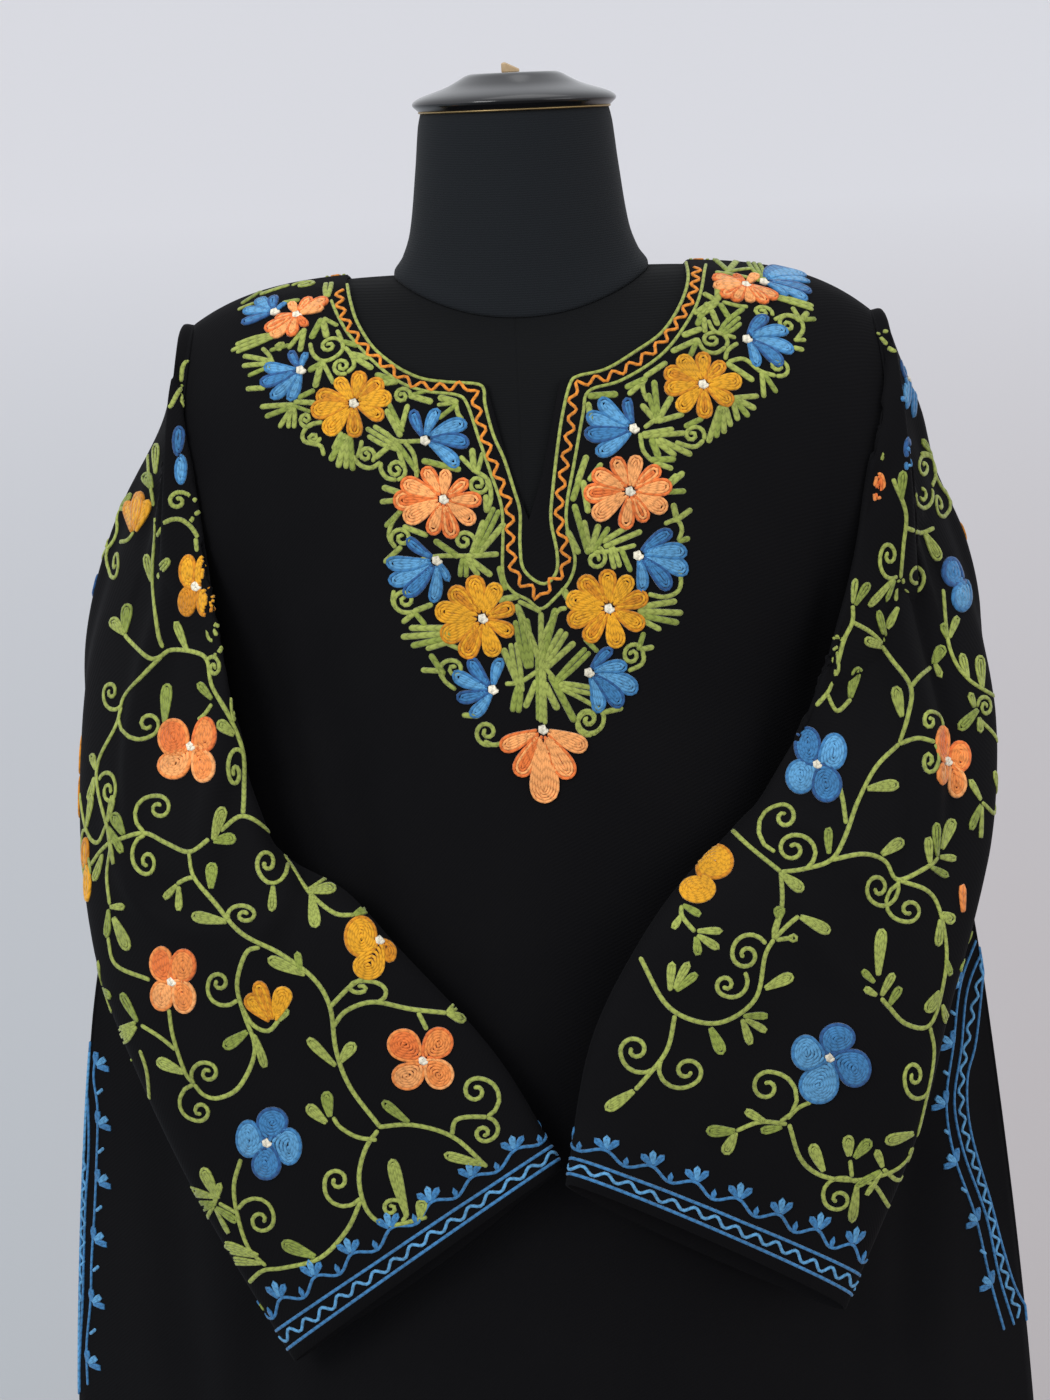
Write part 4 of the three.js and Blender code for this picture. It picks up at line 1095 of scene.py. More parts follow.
def neckLoop(offset, count=64):
    # the back neck's edge set outwards, from one shoulder to the other, in the back chart's own measure
    turn = np.linspace(0, np.pi, count)
    depth = cut["neckBackDepth"] * np.sin(turn) ** 0.9
    half = neckHalfAt("back", np.minimum(depth, cut["neckBackDepth"]))
    x = cut["neckCentre"] + np.where(turn < np.pi / 2, -1, 1) * half
    drops = np.arange(0, 120.0)
    line = clothPoint("back", np.full_like(drops, 60.0), drops)
    length = lengthAlong(line)
    edge = np.stack([x, np.interp(depth, drops, length)], -1)
    ahead = unit(np.gradient(edge, axis=0))
    outside = np.stack([-ahead[:, 1], ahead[:, 0]], -1)
    loop = edge + outside * offset
    loop[[0, -1], 1] = 0.6
    return loop


def makeNeckBorder():
    front, back, chart = [], [], charts["front"]
    pitch, swing, behind = neckBorder["pitch"], neckBorder["swing"], neckBorder["behind"]
    for line, offset in zip(("inner", "outer"), behind):
        addRow(front, throughKnots(fromView(chart, neckBorder[line]), 8), "leafGreen", stitch["border"])
        addRow(back, neckLoop(offset), "leafGreen", stitch["border"])
    addZigzag(front, fromView(chart, neckBorder["middle"]), pitch, swing)
    addZigzag(back, neckLoop(sum(behind) / 2, 20), pitch, swing)
    return sew("neck_border_front", chart, front), sew("neck_border_back", charts["back"], back)


yokeFlowersPiece, yokeLeavesPiece = makeYoke()
neckFront, neckBack = makeNeckBorder()
print("yoke sewn")

# Sleeve sprays, given where the camera sees them: stems, curls, leaves and flowers of each sleeve.
sleeveStems = {
    -1: [[(204, 341), (207, 350), (201, 363)], [(201, 363), (192, 358), (183, 366), (180, 384), (168, 416)],
        [(152, 420), (148, 446), (149, 474), (154, 508), (155, 532), (153, 562), (153, 590), (158, 633),
        (163, 648)], [(146, 458), (138, 469)], [(157, 536), (167, 522), (179, 519), (190, 526), (199, 538)],
        [(196, 537), (198, 552)], [(134, 532), (128, 540), (120, 542)], [(125, 634), (128, 639), (147, 657),
        (158, 658), (171, 650), (194, 652), (207, 660), (212, 686), (230, 718), (243, 752), (244, 790),
        (243, 814)], [(162, 656), (143, 675), (124, 697), (117, 724), (99, 760), (98, 790), (111, 840)],
        [(212, 704), (205, 714), (198, 720)], [(111, 842), (143, 833), (166, 843), (189, 852), (209, 839)],
        [(220, 831), (242, 816), (266, 829), (288, 860), (309, 892), (334, 913), (354, 915)], [(109, 843),
        (100, 852), (91, 865)], [(111, 846), (107, 875), (110, 905)], [(189, 852), (194, 877), (215, 903),
        (241, 933), (279, 953), (313, 978), (330, 1007), (336, 1050), (350, 1087), (380, 1127)],
        [(194, 877), (186, 879), (177, 884)], [(169, 1009), (173, 1036), (185, 1072), (194, 1084)],
        [(176, 1050), (160, 1037), (141, 1025)], [(194, 1084), (204, 1095), (219, 1098), (240, 1086),
        (255, 1050), (244, 1014), (237, 984), (246, 953), (260, 947)], [(240, 1003), (252, 1024),
        (268, 1031), (279, 1020)], [(333, 1027), (346, 1011), (373, 1002), (410, 1009), (447, 1013)],
        [(418, 1012), (427, 1030)], [(378, 1127), (413, 1125), (453, 1137), (487, 1167)], [(452, 1135),
        (455, 1121), (467, 1117), (487, 1117)], [(377, 1140), (357, 1137), (340, 1127), (333, 1117)],
        [(378, 1130), (365, 1150), (359, 1180), (368, 1212), (390, 1225), (427, 1217)], [(361, 1200),
        (347, 1230), (320, 1258), (283, 1268), (262, 1271), (244, 1288)], [(266, 1266), (248, 1247),
        (237, 1213), (234, 1185), (241, 1159)], [(237, 1213), (219, 1203)], [(157, 1120), (150, 1104),
        (138, 1098), (118, 1100)], [(150, 1104), (147, 1072), (140, 1050)], [(108, 937), (116, 965),
        (150, 980)], [(330, 1007), (352, 985), (372, 975)]],
    1: [[(865, 323), (883, 340), (894, 353)], [(883, 331), (903, 335), (910, 343)], [(885, 448),
        (881, 461)], [(885, 454), (893, 480), (904, 512), (901, 546), (898, 578)], [(904, 527), (920, 533),
        (934, 528)], [(896, 579), (896, 601)], [(851, 605), (851, 622), (843, 640), (836, 666), (829, 690),
        (816, 706)], [(851, 622), (872, 635), (892, 660), (911, 687), (908, 716), (899, 744)], [(911, 687),
        (919, 677), (931, 667)], [(827, 694), (837, 711), (851, 699)], [(899, 744), (876, 767), (858, 801),
        (845, 837), (831, 860), (804, 869), (781, 872)], [(899, 744), (918, 738), (935, 742)], [(943, 589),
        (949, 646), (966, 677), (994, 696)], [(980, 720), (996, 738), (998, 760)], [(838, 781), (843, 801),
        (846, 824)], [(831, 860), (863, 854), (885, 861), (898, 880), (929, 866), (938, 857)], [(899, 880),
        (933, 896), (946, 944), (943, 985), (930, 1025), (906, 1024), (889, 1007), (881, 998)], [(724, 821),
        (720, 828), (715, 839)], [(725, 823), (749, 846), (781, 872)], [(682, 905), (682, 916), (695, 932)],
        [(774, 939), (765, 956), (756, 998), (726, 1021), (695, 1021), (665, 1003), (640, 957)],
        [(774, 939), (774, 930), (778, 918)], [(774, 939), (788, 925), (799, 916)], [(776, 940),
        (790, 938)], [(675, 1015), (667, 1050), (645, 1079), (635, 1090)], [(787, 1119), (798, 1108),
        (811, 1102)], [(787, 1124), (760, 1122), (736, 1131)], [(789, 1124), (802, 1161), (829, 1178),
        (872, 1178), (908, 1158), (927, 1095), (934, 1053), (930, 1027)], [(852, 1177), (850, 1160)],
        [(858, 1181), (874, 1185), (889, 1207)], [(781, 872), (782, 905), (774, 939)]],
}
sleeveCurls = {
    -1: [(198, 355, 196, 348, 5, 6, 1), (190, 522, 178, 501, 10, 10, -1), (214, 655, 213, 634, 8, 12, -1),
        (207, 660, 214, 668, 6, 8, 1), (122, 705, 111, 692, 8, 11, 1), (122, 707, 148, 724, 14, 14, -1),
        (243, 753, 235, 773, 7, 14, -1), (245, 756, 257, 762, 9, 13, 1), (99, 780, 109, 791, 8, 14, 1),
        (144, 832, 159, 808, 14, 14, 1), (145, 835, 147, 862, 11, 15, -1), (228, 919, 245, 915, 12, 9, 1),
        (288, 863, 267, 863, 12, 16, 1), (308, 890, 293, 832, 11, 11, -1),
        (194, 1084, 208, 1073, 11, 11, 1), (194, 1084, 200, 1111, 12, 12, -1),
        (238, 1000, 219, 983, 12, 12, 1), (377, 1003, 360, 988, 14, 8, -1),
        (487, 1117, 476, 1091, 15, 15, -1), (487, 1117, 484, 1133, 11, 10, 1),
        (361, 1198, 337, 1181, 14, 14, 1), (402, 1222, 391, 1208, 9, 9, -1),
        (238, 1209, 261, 1220, 15, 15, 1)],
    1: [(932, 486, 924, 467, 7, 13, -1), (932, 489, 922, 496, 8, 12, 1), (895, 576, 887, 555, 9, 14, 1),
        (900, 578, 914, 577, 12, 15, -1), (937, 740, 930, 721, 8, 11, -1), (935, 744, 929, 761, 7, 13, 1),
        (977, 707, 985, 707, 7, 10, 1), (898, 880, 878, 888, 14, 17, 1), (898, 884, 909, 910, 14, 14, -1),
        (807, 868, 793, 849, 17, 16, -1), (775, 852, 784, 817, 14, 15, 1), (766, 944, 746, 955, 16, 16, -1),
        (745, 972, 726, 985, 12, 12, 1), (660, 1062, 687, 1071, 18, 16, -1),
        (662, 1060, 635, 1050, 17, 16, 1), (780, 1122, 767, 1087, 18, 18, -1),
        (856, 1182, 838, 1199, 16, 14, -1), (929, 1090, 914, 1076, 11, 16, 1)],
}
sleeveLeaves = {
    -1: [(180, 388, 192, 383, 5), (180, 394, 183, 408, 5), (156, 474, 155, 443, 6), (152, 488, 144, 473, 9),
        (152, 582, 145, 554, 6), (158, 578, 171, 557, 6), (125, 634, 127, 603, 9), (125, 634, 110, 619, 9),
        (188, 652, 174, 621, 6), (212, 699, 197, 683, 6), (233, 722, 233, 691, 6), (234, 735, 217, 722, 9),
        (165, 725, 166, 683, 9), (96, 769, 91, 753, 5), (95, 777, 90, 802, 5), (124, 835, 112, 813, 9),
        (103, 854, 95, 882, 5), (111, 907, 126, 906, 5), (109, 909, 108, 938, 5), (113, 916, 130, 950, 9),
        (213, 841, 222, 806, 9), (213, 841, 236, 837, 9), (177, 885, 164, 900, 5), (179, 886, 180, 912, 5),
        (211, 889, 211, 862, 9), (228, 922, 191, 917, 9), (273, 886, 273, 912, 6), (288, 803, 270, 785, 9),
        (309, 892, 336, 886, 9), (311, 894, 317, 928, 9), (138, 1022, 120, 993, 6),
        (136, 1022, 107, 1037, 5), (136, 1026, 120, 1043, 9), (138, 1100, 126, 1058, 6),
        (144, 1098, 144, 1116, 9), (185, 1073, 156, 1061, 9), (248, 1031, 224, 1049, 9),
        (254, 1034, 267, 1068, 6), (307, 975, 267, 960, 9), (301, 972, 296, 951, 5),
        (337, 1067, 306, 1039, 7), (340, 1062, 354, 1042, 9), (410, 1123, 381, 1102, 7),
        (487, 1165, 443, 1156, 7), (327, 1123, 306, 1106, 9), (330, 1117, 325, 1091, 9),
        (408, 1220, 389, 1159, 10), (420, 1217, 422, 1199, 9), (317, 1257, 281, 1244, 10),
        (219, 1200, 201, 1168, 9), (216, 1197, 182, 1190, 7), (216, 1203, 193, 1209, 9),
        (260, 1256, 221, 1246, 9), (263, 1263, 228, 1261, 6), (255, 1302, 264, 1313, 6),
        (447, 1013, 462, 1000, 6), (447, 1013, 466, 1020, 7), (354, 915, 372, 905, 7),
        (120, 1100, 104, 1090, 7), (279, 1020, 288, 1008, 6)],
    1: [(900, 499, 901, 470, 6), (924, 533, 941, 560, 9), (892, 577, 867, 608, 5), (892, 579, 884, 602, 3),
        (898, 607, 887, 630, 6), (851, 603, 854, 578, 3), (853, 605, 866, 582, 6), (842, 642, 832, 634, 8),
        (835, 646, 835, 676, 6), (884, 642, 874, 610, 5), (882, 647, 861, 640, 7), (902, 718, 894, 686, 9),
        (933, 664, 943, 645, 9), (935, 664, 942, 678, 5), (792, 703, 801, 680, 5), (850, 699, 855, 666, 9),
        (866, 789, 899, 783, 9), (949, 638, 957, 615, 5), (947, 638, 941, 623, 5), (968, 679, 960, 653, 6),
        (982, 689, 978, 655, 8), (978, 709, 959, 731, 8), (974, 707, 969, 692, 5), (979, 718, 981, 733, 5),
        (829, 854, 827, 827, 6), (881, 855, 903, 839, 9), (930, 864, 927, 836, 6), (937, 857, 935, 822, 6),
        (941, 850, 952, 818, 9), (940, 857, 957, 858, 5), (931, 867, 949, 876, 5), (942, 914, 955, 921, 9),
        (940, 919, 939, 947, 6), (946, 960, 951, 976, 5), (781, 874, 804, 890, 9), (681, 916, 673, 930, 5),
        (683, 905, 702, 915, 5), (697, 931, 723, 930, 5), (697, 935, 720, 948, 6), (696, 937, 699, 956, 6),
        (799, 916, 831, 931, 9), (764, 989, 793, 974, 9), (743, 1016, 769, 1015, 5),
        (745, 1019, 768, 1031, 5), (742, 1019, 752, 1045, 6), (710, 1027, 724, 1054, 9),
        (670, 991, 671, 961, 6), (674, 989, 688, 961, 6), (676, 991, 697, 972, 6),
        (635, 1090, 606, 1111, 9), (878, 978, 880, 928, 9), (874, 982, 861, 970, 5),
        (876, 995, 863, 988, 5), (881, 996, 893, 972, 6), (889, 1005, 900, 986, 6),
        (940, 991, 927, 1013, 9), (942, 1005, 948, 1024, 5), (736, 1131, 706, 1132, 9),
        (736, 1132, 725, 1155, 9), (766, 1122, 744, 1111, 6), (782, 1127, 760, 1132, 6),
        (824, 1172, 810, 1144, 9), (849, 1156, 847, 1135, 9), (854, 1158, 870, 1139, 9),
        (914, 1133, 885, 1143, 9), (857, 1183, 853, 1223, 7), (779, 918, 779, 906, 9),
        (790, 938, 798, 938, 7)],
}
# Round flowers: colour, centre and, for each ringed petal, its middle and half its width and height.
sleeveFlowers = {
    -1: [("blue", (180, 456), [(179, 441, 7, 16), (181, 470, 8, 16)]),
         ("mustard", (198, 586),
          [(190, 570, 10, 17), (206, 569, 9, 16), (189, 601, 10, 16), (207, 602, 10, 16)]),
         ("coralRings", (191, 746),
          [(174, 737, 17, 20), (206, 735, 12, 19), (173, 765, 17, 15), (203, 767, 13, 17)]),
         ("coralRings", (172, 981),
          [(162, 963, 13, 18), (184, 966, 14, 18), (162, 995, 13, 17), (184, 998, 13, 17)]),
         ("mustard", (379, 940), [(361, 936, 18, 22), (368, 966, 17, 15), (389, 953, 8, 11)]),
         ("coralRings", (423, 1060),
          [(404, 1044, 18, 17), (439, 1043, 16, 17), (407, 1076, 17, 15), (439, 1075, 16, 16)]),
         ("blue", (267, 1142),
          [(273, 1122, 17, 16), (249, 1138, 14, 20), (289, 1147, 14, 20), (266, 1164, 16, 17)]),
         ("mustard", (84, 868), [(86, 853, 5, 16), (87, 884, 5, 18)])],
    1: [("blue", (911, 379), [(907, 362, 8, 16), (904, 394, 7, 16), (913, 402, 4, 17)]),
        ("blue", (907, 457), [(907, 447, 5, 13), (907, 465, 6, 8)]),
        ("coralRings", (872, 500), [(879, 486, 8, 15)]),
        ("blue", (968, 580), [(952, 571, 11, 15), (961, 597, 11, 15)]),
        ("blue", (817, 764),
         [(808, 745, 15, 20), (834, 752, 14, 20), (800, 776, 16, 19), (826, 785, 17, 19)]),
        ("coralRings", (947, 761),
         [(943, 742, 8, 17), (960, 757, 12, 17), (942, 774, 6, 11), (956, 784, 11, 15)]),
        ("mustard", (700, 878), [(716, 862, 19, 19), (697, 889, 19, 15)]),
        ("blue", (829, 1057),
         [(838, 1038, 19, 16), (806, 1052, 16, 19), (818, 1085, 21, 20), (854, 1069, 18, 20)])],
}
# Half flowers on a stem: colour, base, and for each petal its tip and width.
sleeveTulips = {
    -1: [("mustard", (134, 534), [(127, 502, 10), (149, 501, 10), (140, 493, 12)]),
         ("mustard", (273, 1023), [(247, 995, 18), (286, 987, 19), (257, 981, 15)])],
    1: [("coralRings", (963, 915), [(962, 884, 6)])],
}
pairsOf["coralRings"] = [("orange", "coral"), ("coral", "orange"), ("orange", "peach"), ("peach", "orange")]

# The sides of the sleeves that face away: sprays set by share round and mm along, turned and scaled.
hiddenSprays = {
    -1: [("mustard", 0.66, 70, 0.3), ("blue", 0.83, 105, 2.0), ("coralRings", 0.7, 170, 1.2),
        ("mustard", 0.9, 195, 2.6), ("blue", 0.66, 262, 0.5), ("coralRings", 0.82, 290, 2.2),
        ("mustard", 0.7, 360, 1.0), ("blue", 0.92, 372, 2.9)],
    1: [("blue", 0.66, 65, 0.4), ("mustard", 0.84, 100, 1.9), ("coralRings", 0.7, 165, 1.1),
        ("blue", 0.88, 205, 2.7), ("mustard", 0.65, 255, 0.6), ("coralRings", 0.82, 300, 2.3),
        ("blue", 0.7, 365, 0.9), ("mustard", 0.92, 372, 3.0)],
}
cuff = {
    "lower": 5.5, "upper": 15.5, "pitch": 13.0, "swing": 2.2, "sprigs": 26.0, "wave": 24.0, "rise": 3.0,
    "size": 9.5,
}


def sleeveReach(chart):
    # the chart's length and the cuff's girth, in mm
    return (len(chart["left"]) - 1) * chartSizes["step"], chart["span"][-8] * sleeveSizes["around"]


def aroundAt(chart, along):
    return chart["span"][int(along / chartSizes["step"])] * sleeveSizes["around"]


def hiddenSpray(flowers, greens, middle, colour, turn):
    # one flower of four ringed petals, a curved stem through it, two curls and leaves in pairs
    for k in range(4):
        way = turn + np.pi / 2 * k
        petal = middle + 11.5 * compass(way)
        pair = pairsOf[colour][k % len(pairsOf[colour])]
        addRings(flowers, petal, np.array([9.0, 9.4]), middle, pair, 0.2 + 0.1 * (k % 2))
    addDisc(flowers, middle, 3.0)
    ahead = compass(turn + 0.8)
    aside = np.array([-ahead[1], ahead[0]])
    stem = middle + np.array([(20, 2), (34, 9), (47, 8), (58, -4)]) @ np.stack([ahead, aside])
    addRow(greens, throughKnots(stem), "leafGreen", stitch["stem"])
    addRow(greens, throughKnots(middle - (stem - middle)), "leafGreen", stitch["stem"])
    for sign in (-1, 1):
        knee, end = middle + sign * (34 * ahead + 9 * aside), middle + sign * (58 * ahead - 4 * aside)
        addCurl(greens, knee, knee + sign * (3 * ahead + 13 * aside), np.array([8.0, 8.0]), sign)
        addLeaf(greens, knee, knee + sign * (6 * ahead - 17 * aside), 5.0)
        addLeaf(greens, end, end + sign * (15 * ahead + 4 * aside), 5.0, "green")
        addLeaf(greens, end, end + sign * (4 * ahead - 14 * aside), 4.0)
        addLeaf(greens, end, end + sign * (9 * ahead + 13 * aside), 3.4)


def makeSleeveWork(hand, side):
    chart, flowers, greens, centres = charts[hand], [], [], []
    for colour, middle, petals in sleeveFlowers[hand]:
        centre, pairs = asSeen(middle), pairsOf[colour]
        for k, petal in enumerate(petals):
            place, radii = asSeen(petal[:2]), asSeen(petal[2:])
            addRings(flowers, place, radii, centre, pairs[k % len(pairs)], 0.2 + 0.1 * (k % 2))
        if len(petals) > 2:
            addDisc(centres, centre, 3.1)
    for colour, base, petals in sleeveTulips[hand]:
        for k, (x, y, wide) in enumerate(petals):
            pair = pairsOf[colour][k % len(pairsOf[colour])]
            addPetal(flowers, asSeen(base), asSeen((x, y)), wide * px, pair, 0.0, 0.2 + 0.15 * (k % 3))
    sewTables(greens, asSeen, sleeveLeaves[hand], sleeveStems[hand], sleeveCurls[hand])
    flowers, greens = seenRows(chart, flowers, True) + seenRows(chart, centres), seenRows(chart, greens)
    for colour, share, along, turn in hiddenSprays[hand]:
        hiddenSpray(flowers, greens, np.array([share * aroundAt(chart, along), along]), colour, turn)
    return sew("sleeve_" + side + "_flowers", chart, flowers), sew("sleeve_" + side + "_vines", chart, greens)


def makeCuff(hand, side):
    # all round the tube: two blue rows with a light blue zigzag between, and a waved stem with sprigs and
    # buds above
    chart, rows = charts[hand], []
    reach, girth = sleeveReach(chart)
    share = np.linspace(0, 1, 120)
    for up in (cuff["lower"], cuff["upper"]):
        addRow(rows, np.stack([share * girth, np.full(120, reach - up)], -1), "blue", stitch["border"])
    middle = reach - (cuff["lower"] + cuff["upper"]) / 2
    knots = [(0, middle), (girth / 2, middle), (girth, middle)]
    addZigzag(rows, knots, cuff["pitch"], cuff["swing"], "lightBlue")
    count = int(round(girth / cuff["sprigs"]))
    wave = reach - cuff["wave"] + cuff["rise"] * np.sin(2 * np.pi * count * share)
    addRow(rows, np.stack([share * girth, wave], -1), "blue", stitch["border"])
    for k in range(count):
        at = np.array([(k + 0.72) * girth / count, reach - cuff["wave"] - cuff["rise"]])
        addSprig(rows, at, (0.25, -1), cuff["size"], ("blue", "lightBlue", "blue"))
        bud = np.array([(k + 0.25) * girth / count, reach - cuff["wave"] + cuff["rise"]])
        addLeaf(rows, bud, bud + (0.8, -6.0), 3.0, "blue")
    return sew("cuff_" + side + "_border", chart, rows)


sleeveWork = {hand: [*makeSleeveWork(hand, side), makeCuff(hand, side)]
              for hand, side in ((-1, "left"), (1, "right"))}
print("sleeves sewn")

# Borders of the side pocket slits, given where the camera sees them, all in blue.
pocketBorders = [
    {"lines": [[(85, 1048), (88, 1100), (89, 1150), (86, 1200), (84, 1260), (83, 1300), (80, 1360),
                (80, 1392)], [(84, 1040), (80, 1150), (77, 1290), (73, 1392)]],
     "zigzag": [(84, 1050), (85, 1120), (84, 1180), (81, 1260), (79, 1330), (77, 1390)],
     "stem": [(96, 1055), (94, 1078), (98, 1110), (97, 1160), (95, 1210), (92, 1260), (91, 1300),
              (87, 1345), (88, 1385)],
     "sprigs": [(96, 1066), (98, 1125), (98, 1183), (94, 1241), (92, 1303), (88, 1364)],
     "toward": (12, -10), "buds": [(97, 1094), (98, 1153), (96, 1211), (93, 1271), (90, 1334)]},
    {"lines": [[(990, 950), (976, 1039), (967, 1079), (970, 1129), (990, 1200), (1003, 1249), (1016, 1289),
                (1028, 1320)],
               [(985, 945), (967, 990), (961, 1048), (954, 1102), (963, 1151), (985, 1213), (999, 1276),
                (1014, 1325)]],
     "zigzag": [(986, 955), (970, 1020), (961, 1090), (967, 1142), (988, 1206), (1003, 1268), (1020, 1320)],
     "stem": [(976, 940), (960, 985), (953, 1045), (946, 1102), (954, 1156), (975, 1216), (990, 1280),
              (1004, 1330)],
     "sprigs": [(960, 985), (953, 1045), (946, 1105), (957, 1163), (978, 1222), (992, 1285)],
     "toward": (-12, -8), "buds": [(956, 1015), (949, 1075), (950, 1134), (967, 1192), (986, 1254)]},
]
pocket = {"row": 1.7, "pitch": 11.5, "swing": 1.7, "sprig": 9.0, "bud": 2.2}


def makePockets():
    chart, rows = charts["front"], []
    for border in pocketBorders:
        for line in border["lines"]:
            addRow(rows, throughKnots(fromView(chart, line)), "blue", pocket["row"])
        addZigzag(rows, fromView(chart, border["zigzag"]), pocket["pitch"], pocket["swing"], "lightBlue")
        addRow(rows, throughKnots(fromView(chart, border["stem"])), "blue", pocket["row"])
        toward = np.array(border["toward"], float)
        for at in border["sprigs"]:
            base, ahead = fromView(chart, [at, np.array(at) + toward])
            addSprig(rows, base, ahead - base, pocket["sprig"], ("blue", "lightBlue"))
        for at in border["buds"]:
            base, ahead = fromView(chart, [at, np.array(at) + toward * 0.5])
            addRow(rows, [base, ahead], "lightBlue", pocket["bud"])
    return sew("pocket_borders", chart, rows)


pocketWork = makePockets()
print("pockets sewn")

# The form under the garment.
formRows = {
    "drop":  [0, 3, 12, 40, 90, 160, 230, 340, 450, 540, 609],
    "half":  [170, 173, 176, 177, 168, 152, 140, 120, 146, 164, 162],
    "front": [160, 160, 150, 140, 122, 116, 108, 84, 96, 104, 104],
    "back":  [160, 160, 150, 130, 112, 100, 92, 76, 98, 112, 108],
}
neckRows = {
    "up":    [0, 2.5, 9, 22, 55, 78, 84.5],
    "half":  [68, 67.5, 63, 58.5, 54, 51.5, 50],
    "front": [50, 50, 49.5, 49, 49, 49.5, 49],
    "back":  [54, 53.5, 51, 49.5, 49, 49.5, 49],
}
form = {
    "clear": 2.2, "bottomDrop": 609.0, "neckTop": 1481.0, "neckSeat": 0.65, "capRadius": 54.5,
    "capTop": 1501.0, "poleRadius": 16.0, "poleTop": 786.5, "footRadius": 185.0, "footThickness": 12.0,
    "lean": 0.07,
}


def closed(piece):
    # places that fall together are made one, and each hole left gets a face
    body = bmesh.new()
    body.from_mesh(piece.data)
    bmesh.ops.remove_doubles(body, verts=body.verts, dist=0.04 * mm)
    bmesh.ops.holes_fill(body, edges=[edge for edge in body.edges if edge.is_boundary], sides=0)
    body.to_mesh(piece.data)
    body.free()


def formDepth(side, x, drop):
    # the form's own round body, or just under the cloth where that is less
    half = column(formRows, "drop", "half", drop)
    across = np.clip(np.abs(x) / half, 0, 1)
    own = column(formRows, "drop", side, drop) * np.sqrt(1 - across**2.3)
    under = clothDepth(side, x, drop) - form["clear"] * np.minimum(drop / 4, 1)
    return np.maximum(np.minimum(own, under * np.sqrt(1 - across**10)), 0)


def formHeight(x, drop):
    # the shoulder slope carried down, a little under the cloth
    return cut["ridgeHeight"] - drop - shoulderDip(np.abs(x) + 3, drop) - form["clear"]


def formTorso(material):
    # front and back skins closed into rings, with the underside filled by shrinking the last ring
    columns, rows = 96, 90
    drops = form["bottomDrop"] * (np.arange(rows + 1) / rows) ** 1.7
    across = np.sin(np.pi / 2 * np.linspace(-1, 1, columns + 1))
    x = across[None, :] * column(formRows, "drop", "half", drops)[:, None]
    drop = np.broadcast_to(drops[:, None], x.shape)
    skins = [np.stack([x, sign * formDepth(side, x, drop), formHeight(x, drop)], -1)
             for side, sign in (("front", -1), ("back", 1))]
    ring = np.concatenate([skins[0], skins[1][:, -2:0:-1]], 1)
    rings, around = ring.shape[:2]
    under = ring[-1]
    centre = np.array([[0, 0, under[:, 2].mean()]])
    inward = np.concatenate([(centre + (under - centre) * share) for share in (0.7, 0.35, 0.02)])
    inward[:, 2] = under[:, 2].mean()
    points = np.concatenate([ring.reshape(-1, 3), inward])
    faces = gridFaces(rings + 3, around, wrap=True, flip=True)
    piece = writeMesh("form_torso_jersey", points, faces, None, material)
    closed(piece)
    return piece


def shoulderHeight(x, y):
    # height of the form's shoulders under a place of the neck, by halving
    low, high = np.zeros_like(x), np.full_like(x, 140.0)
    side = np.where(y > 0, 1, 0)
    for _ in range(30):
        middle = (low + high) / 2
        depth = np.where(side == 1, formDepth("back", x, middle), formDepth("front", x, middle))
        short = depth < np.abs(y)
        low, high = np.where(short, middle, low), np.where(short, high, middle)
    return formHeight(x, low)


def formNeck(material):
    # ovals stacked from the shoulders to the cap, each ring following the shoulders less as it rises
    around = 120
    turn = np.linspace(0, 2 * np.pi, around, endpoint=False)
    ups = np.concatenate([np.linspace(0, 9, 8), np.linspace(12, neckRows["up"][-1], 22)])
    rings = []
    for up in ups:
        half, front, back = (column(neckRows, "up", key, up) for key in ("half", "front", "back"))
        x, y = half * np.cos(turn), np.where(np.sin(turn) > 0, back, front) * np.sin(turn)
        seat = shoulderHeight(x, y) + form["neckSeat"]
        top = form["neckTop"] - form["lean"] * y
        rings.append(np.stack([x, y, seat + (top - seat) * up / neckRows["up"][-1]], -1))
    rings.append(np.tile([0, 0, form["neckTop"]], (around, 1)))
    faces = gridFaces(len(rings), around, wrap=True)
    piece = writeMesh("form_neck_jersey", np.concatenate(rings), faces, None, material)
    closed(piece)
    return piece


def turned(name, profile, material, around=96, centre=(0, 0), lean=0.0):
    # a profile of (radius, height) spun about a vertical line, its front raised where it leans
    turn = np.linspace(0, 2 * np.pi, around, endpoint=False)
    radius, height = np.array(profile, float).T
    ring = np.stack([radius[:, None] * np.cos(turn) + centre[0], radius[:, None] * np.sin(turn) + centre[1],
                     height[:, None] - lean * radius[:, None] * np.sin(turn)], -1)
    piece = writeMesh(name, ring.reshape(-1, 3), gridFaces(len(radius), around, wrap=True), None, material)
    closed(piece)
    return piece


def rounded(profile):
    # corners of a profile cut into short arcs by two rounds of corner cutting
    points = np.array(profile, float)
    for _ in range(2):
        near = points[:-1] * 0.75 + points[1:] * 0.25
        far = points[:-1] * 0.25 + points[1:] * 0.75
        middle = np.stack([near, far], 1).reshape(-1, 2)
        points = np.concatenate([points[:1], middle, points[-1:]])
    return points


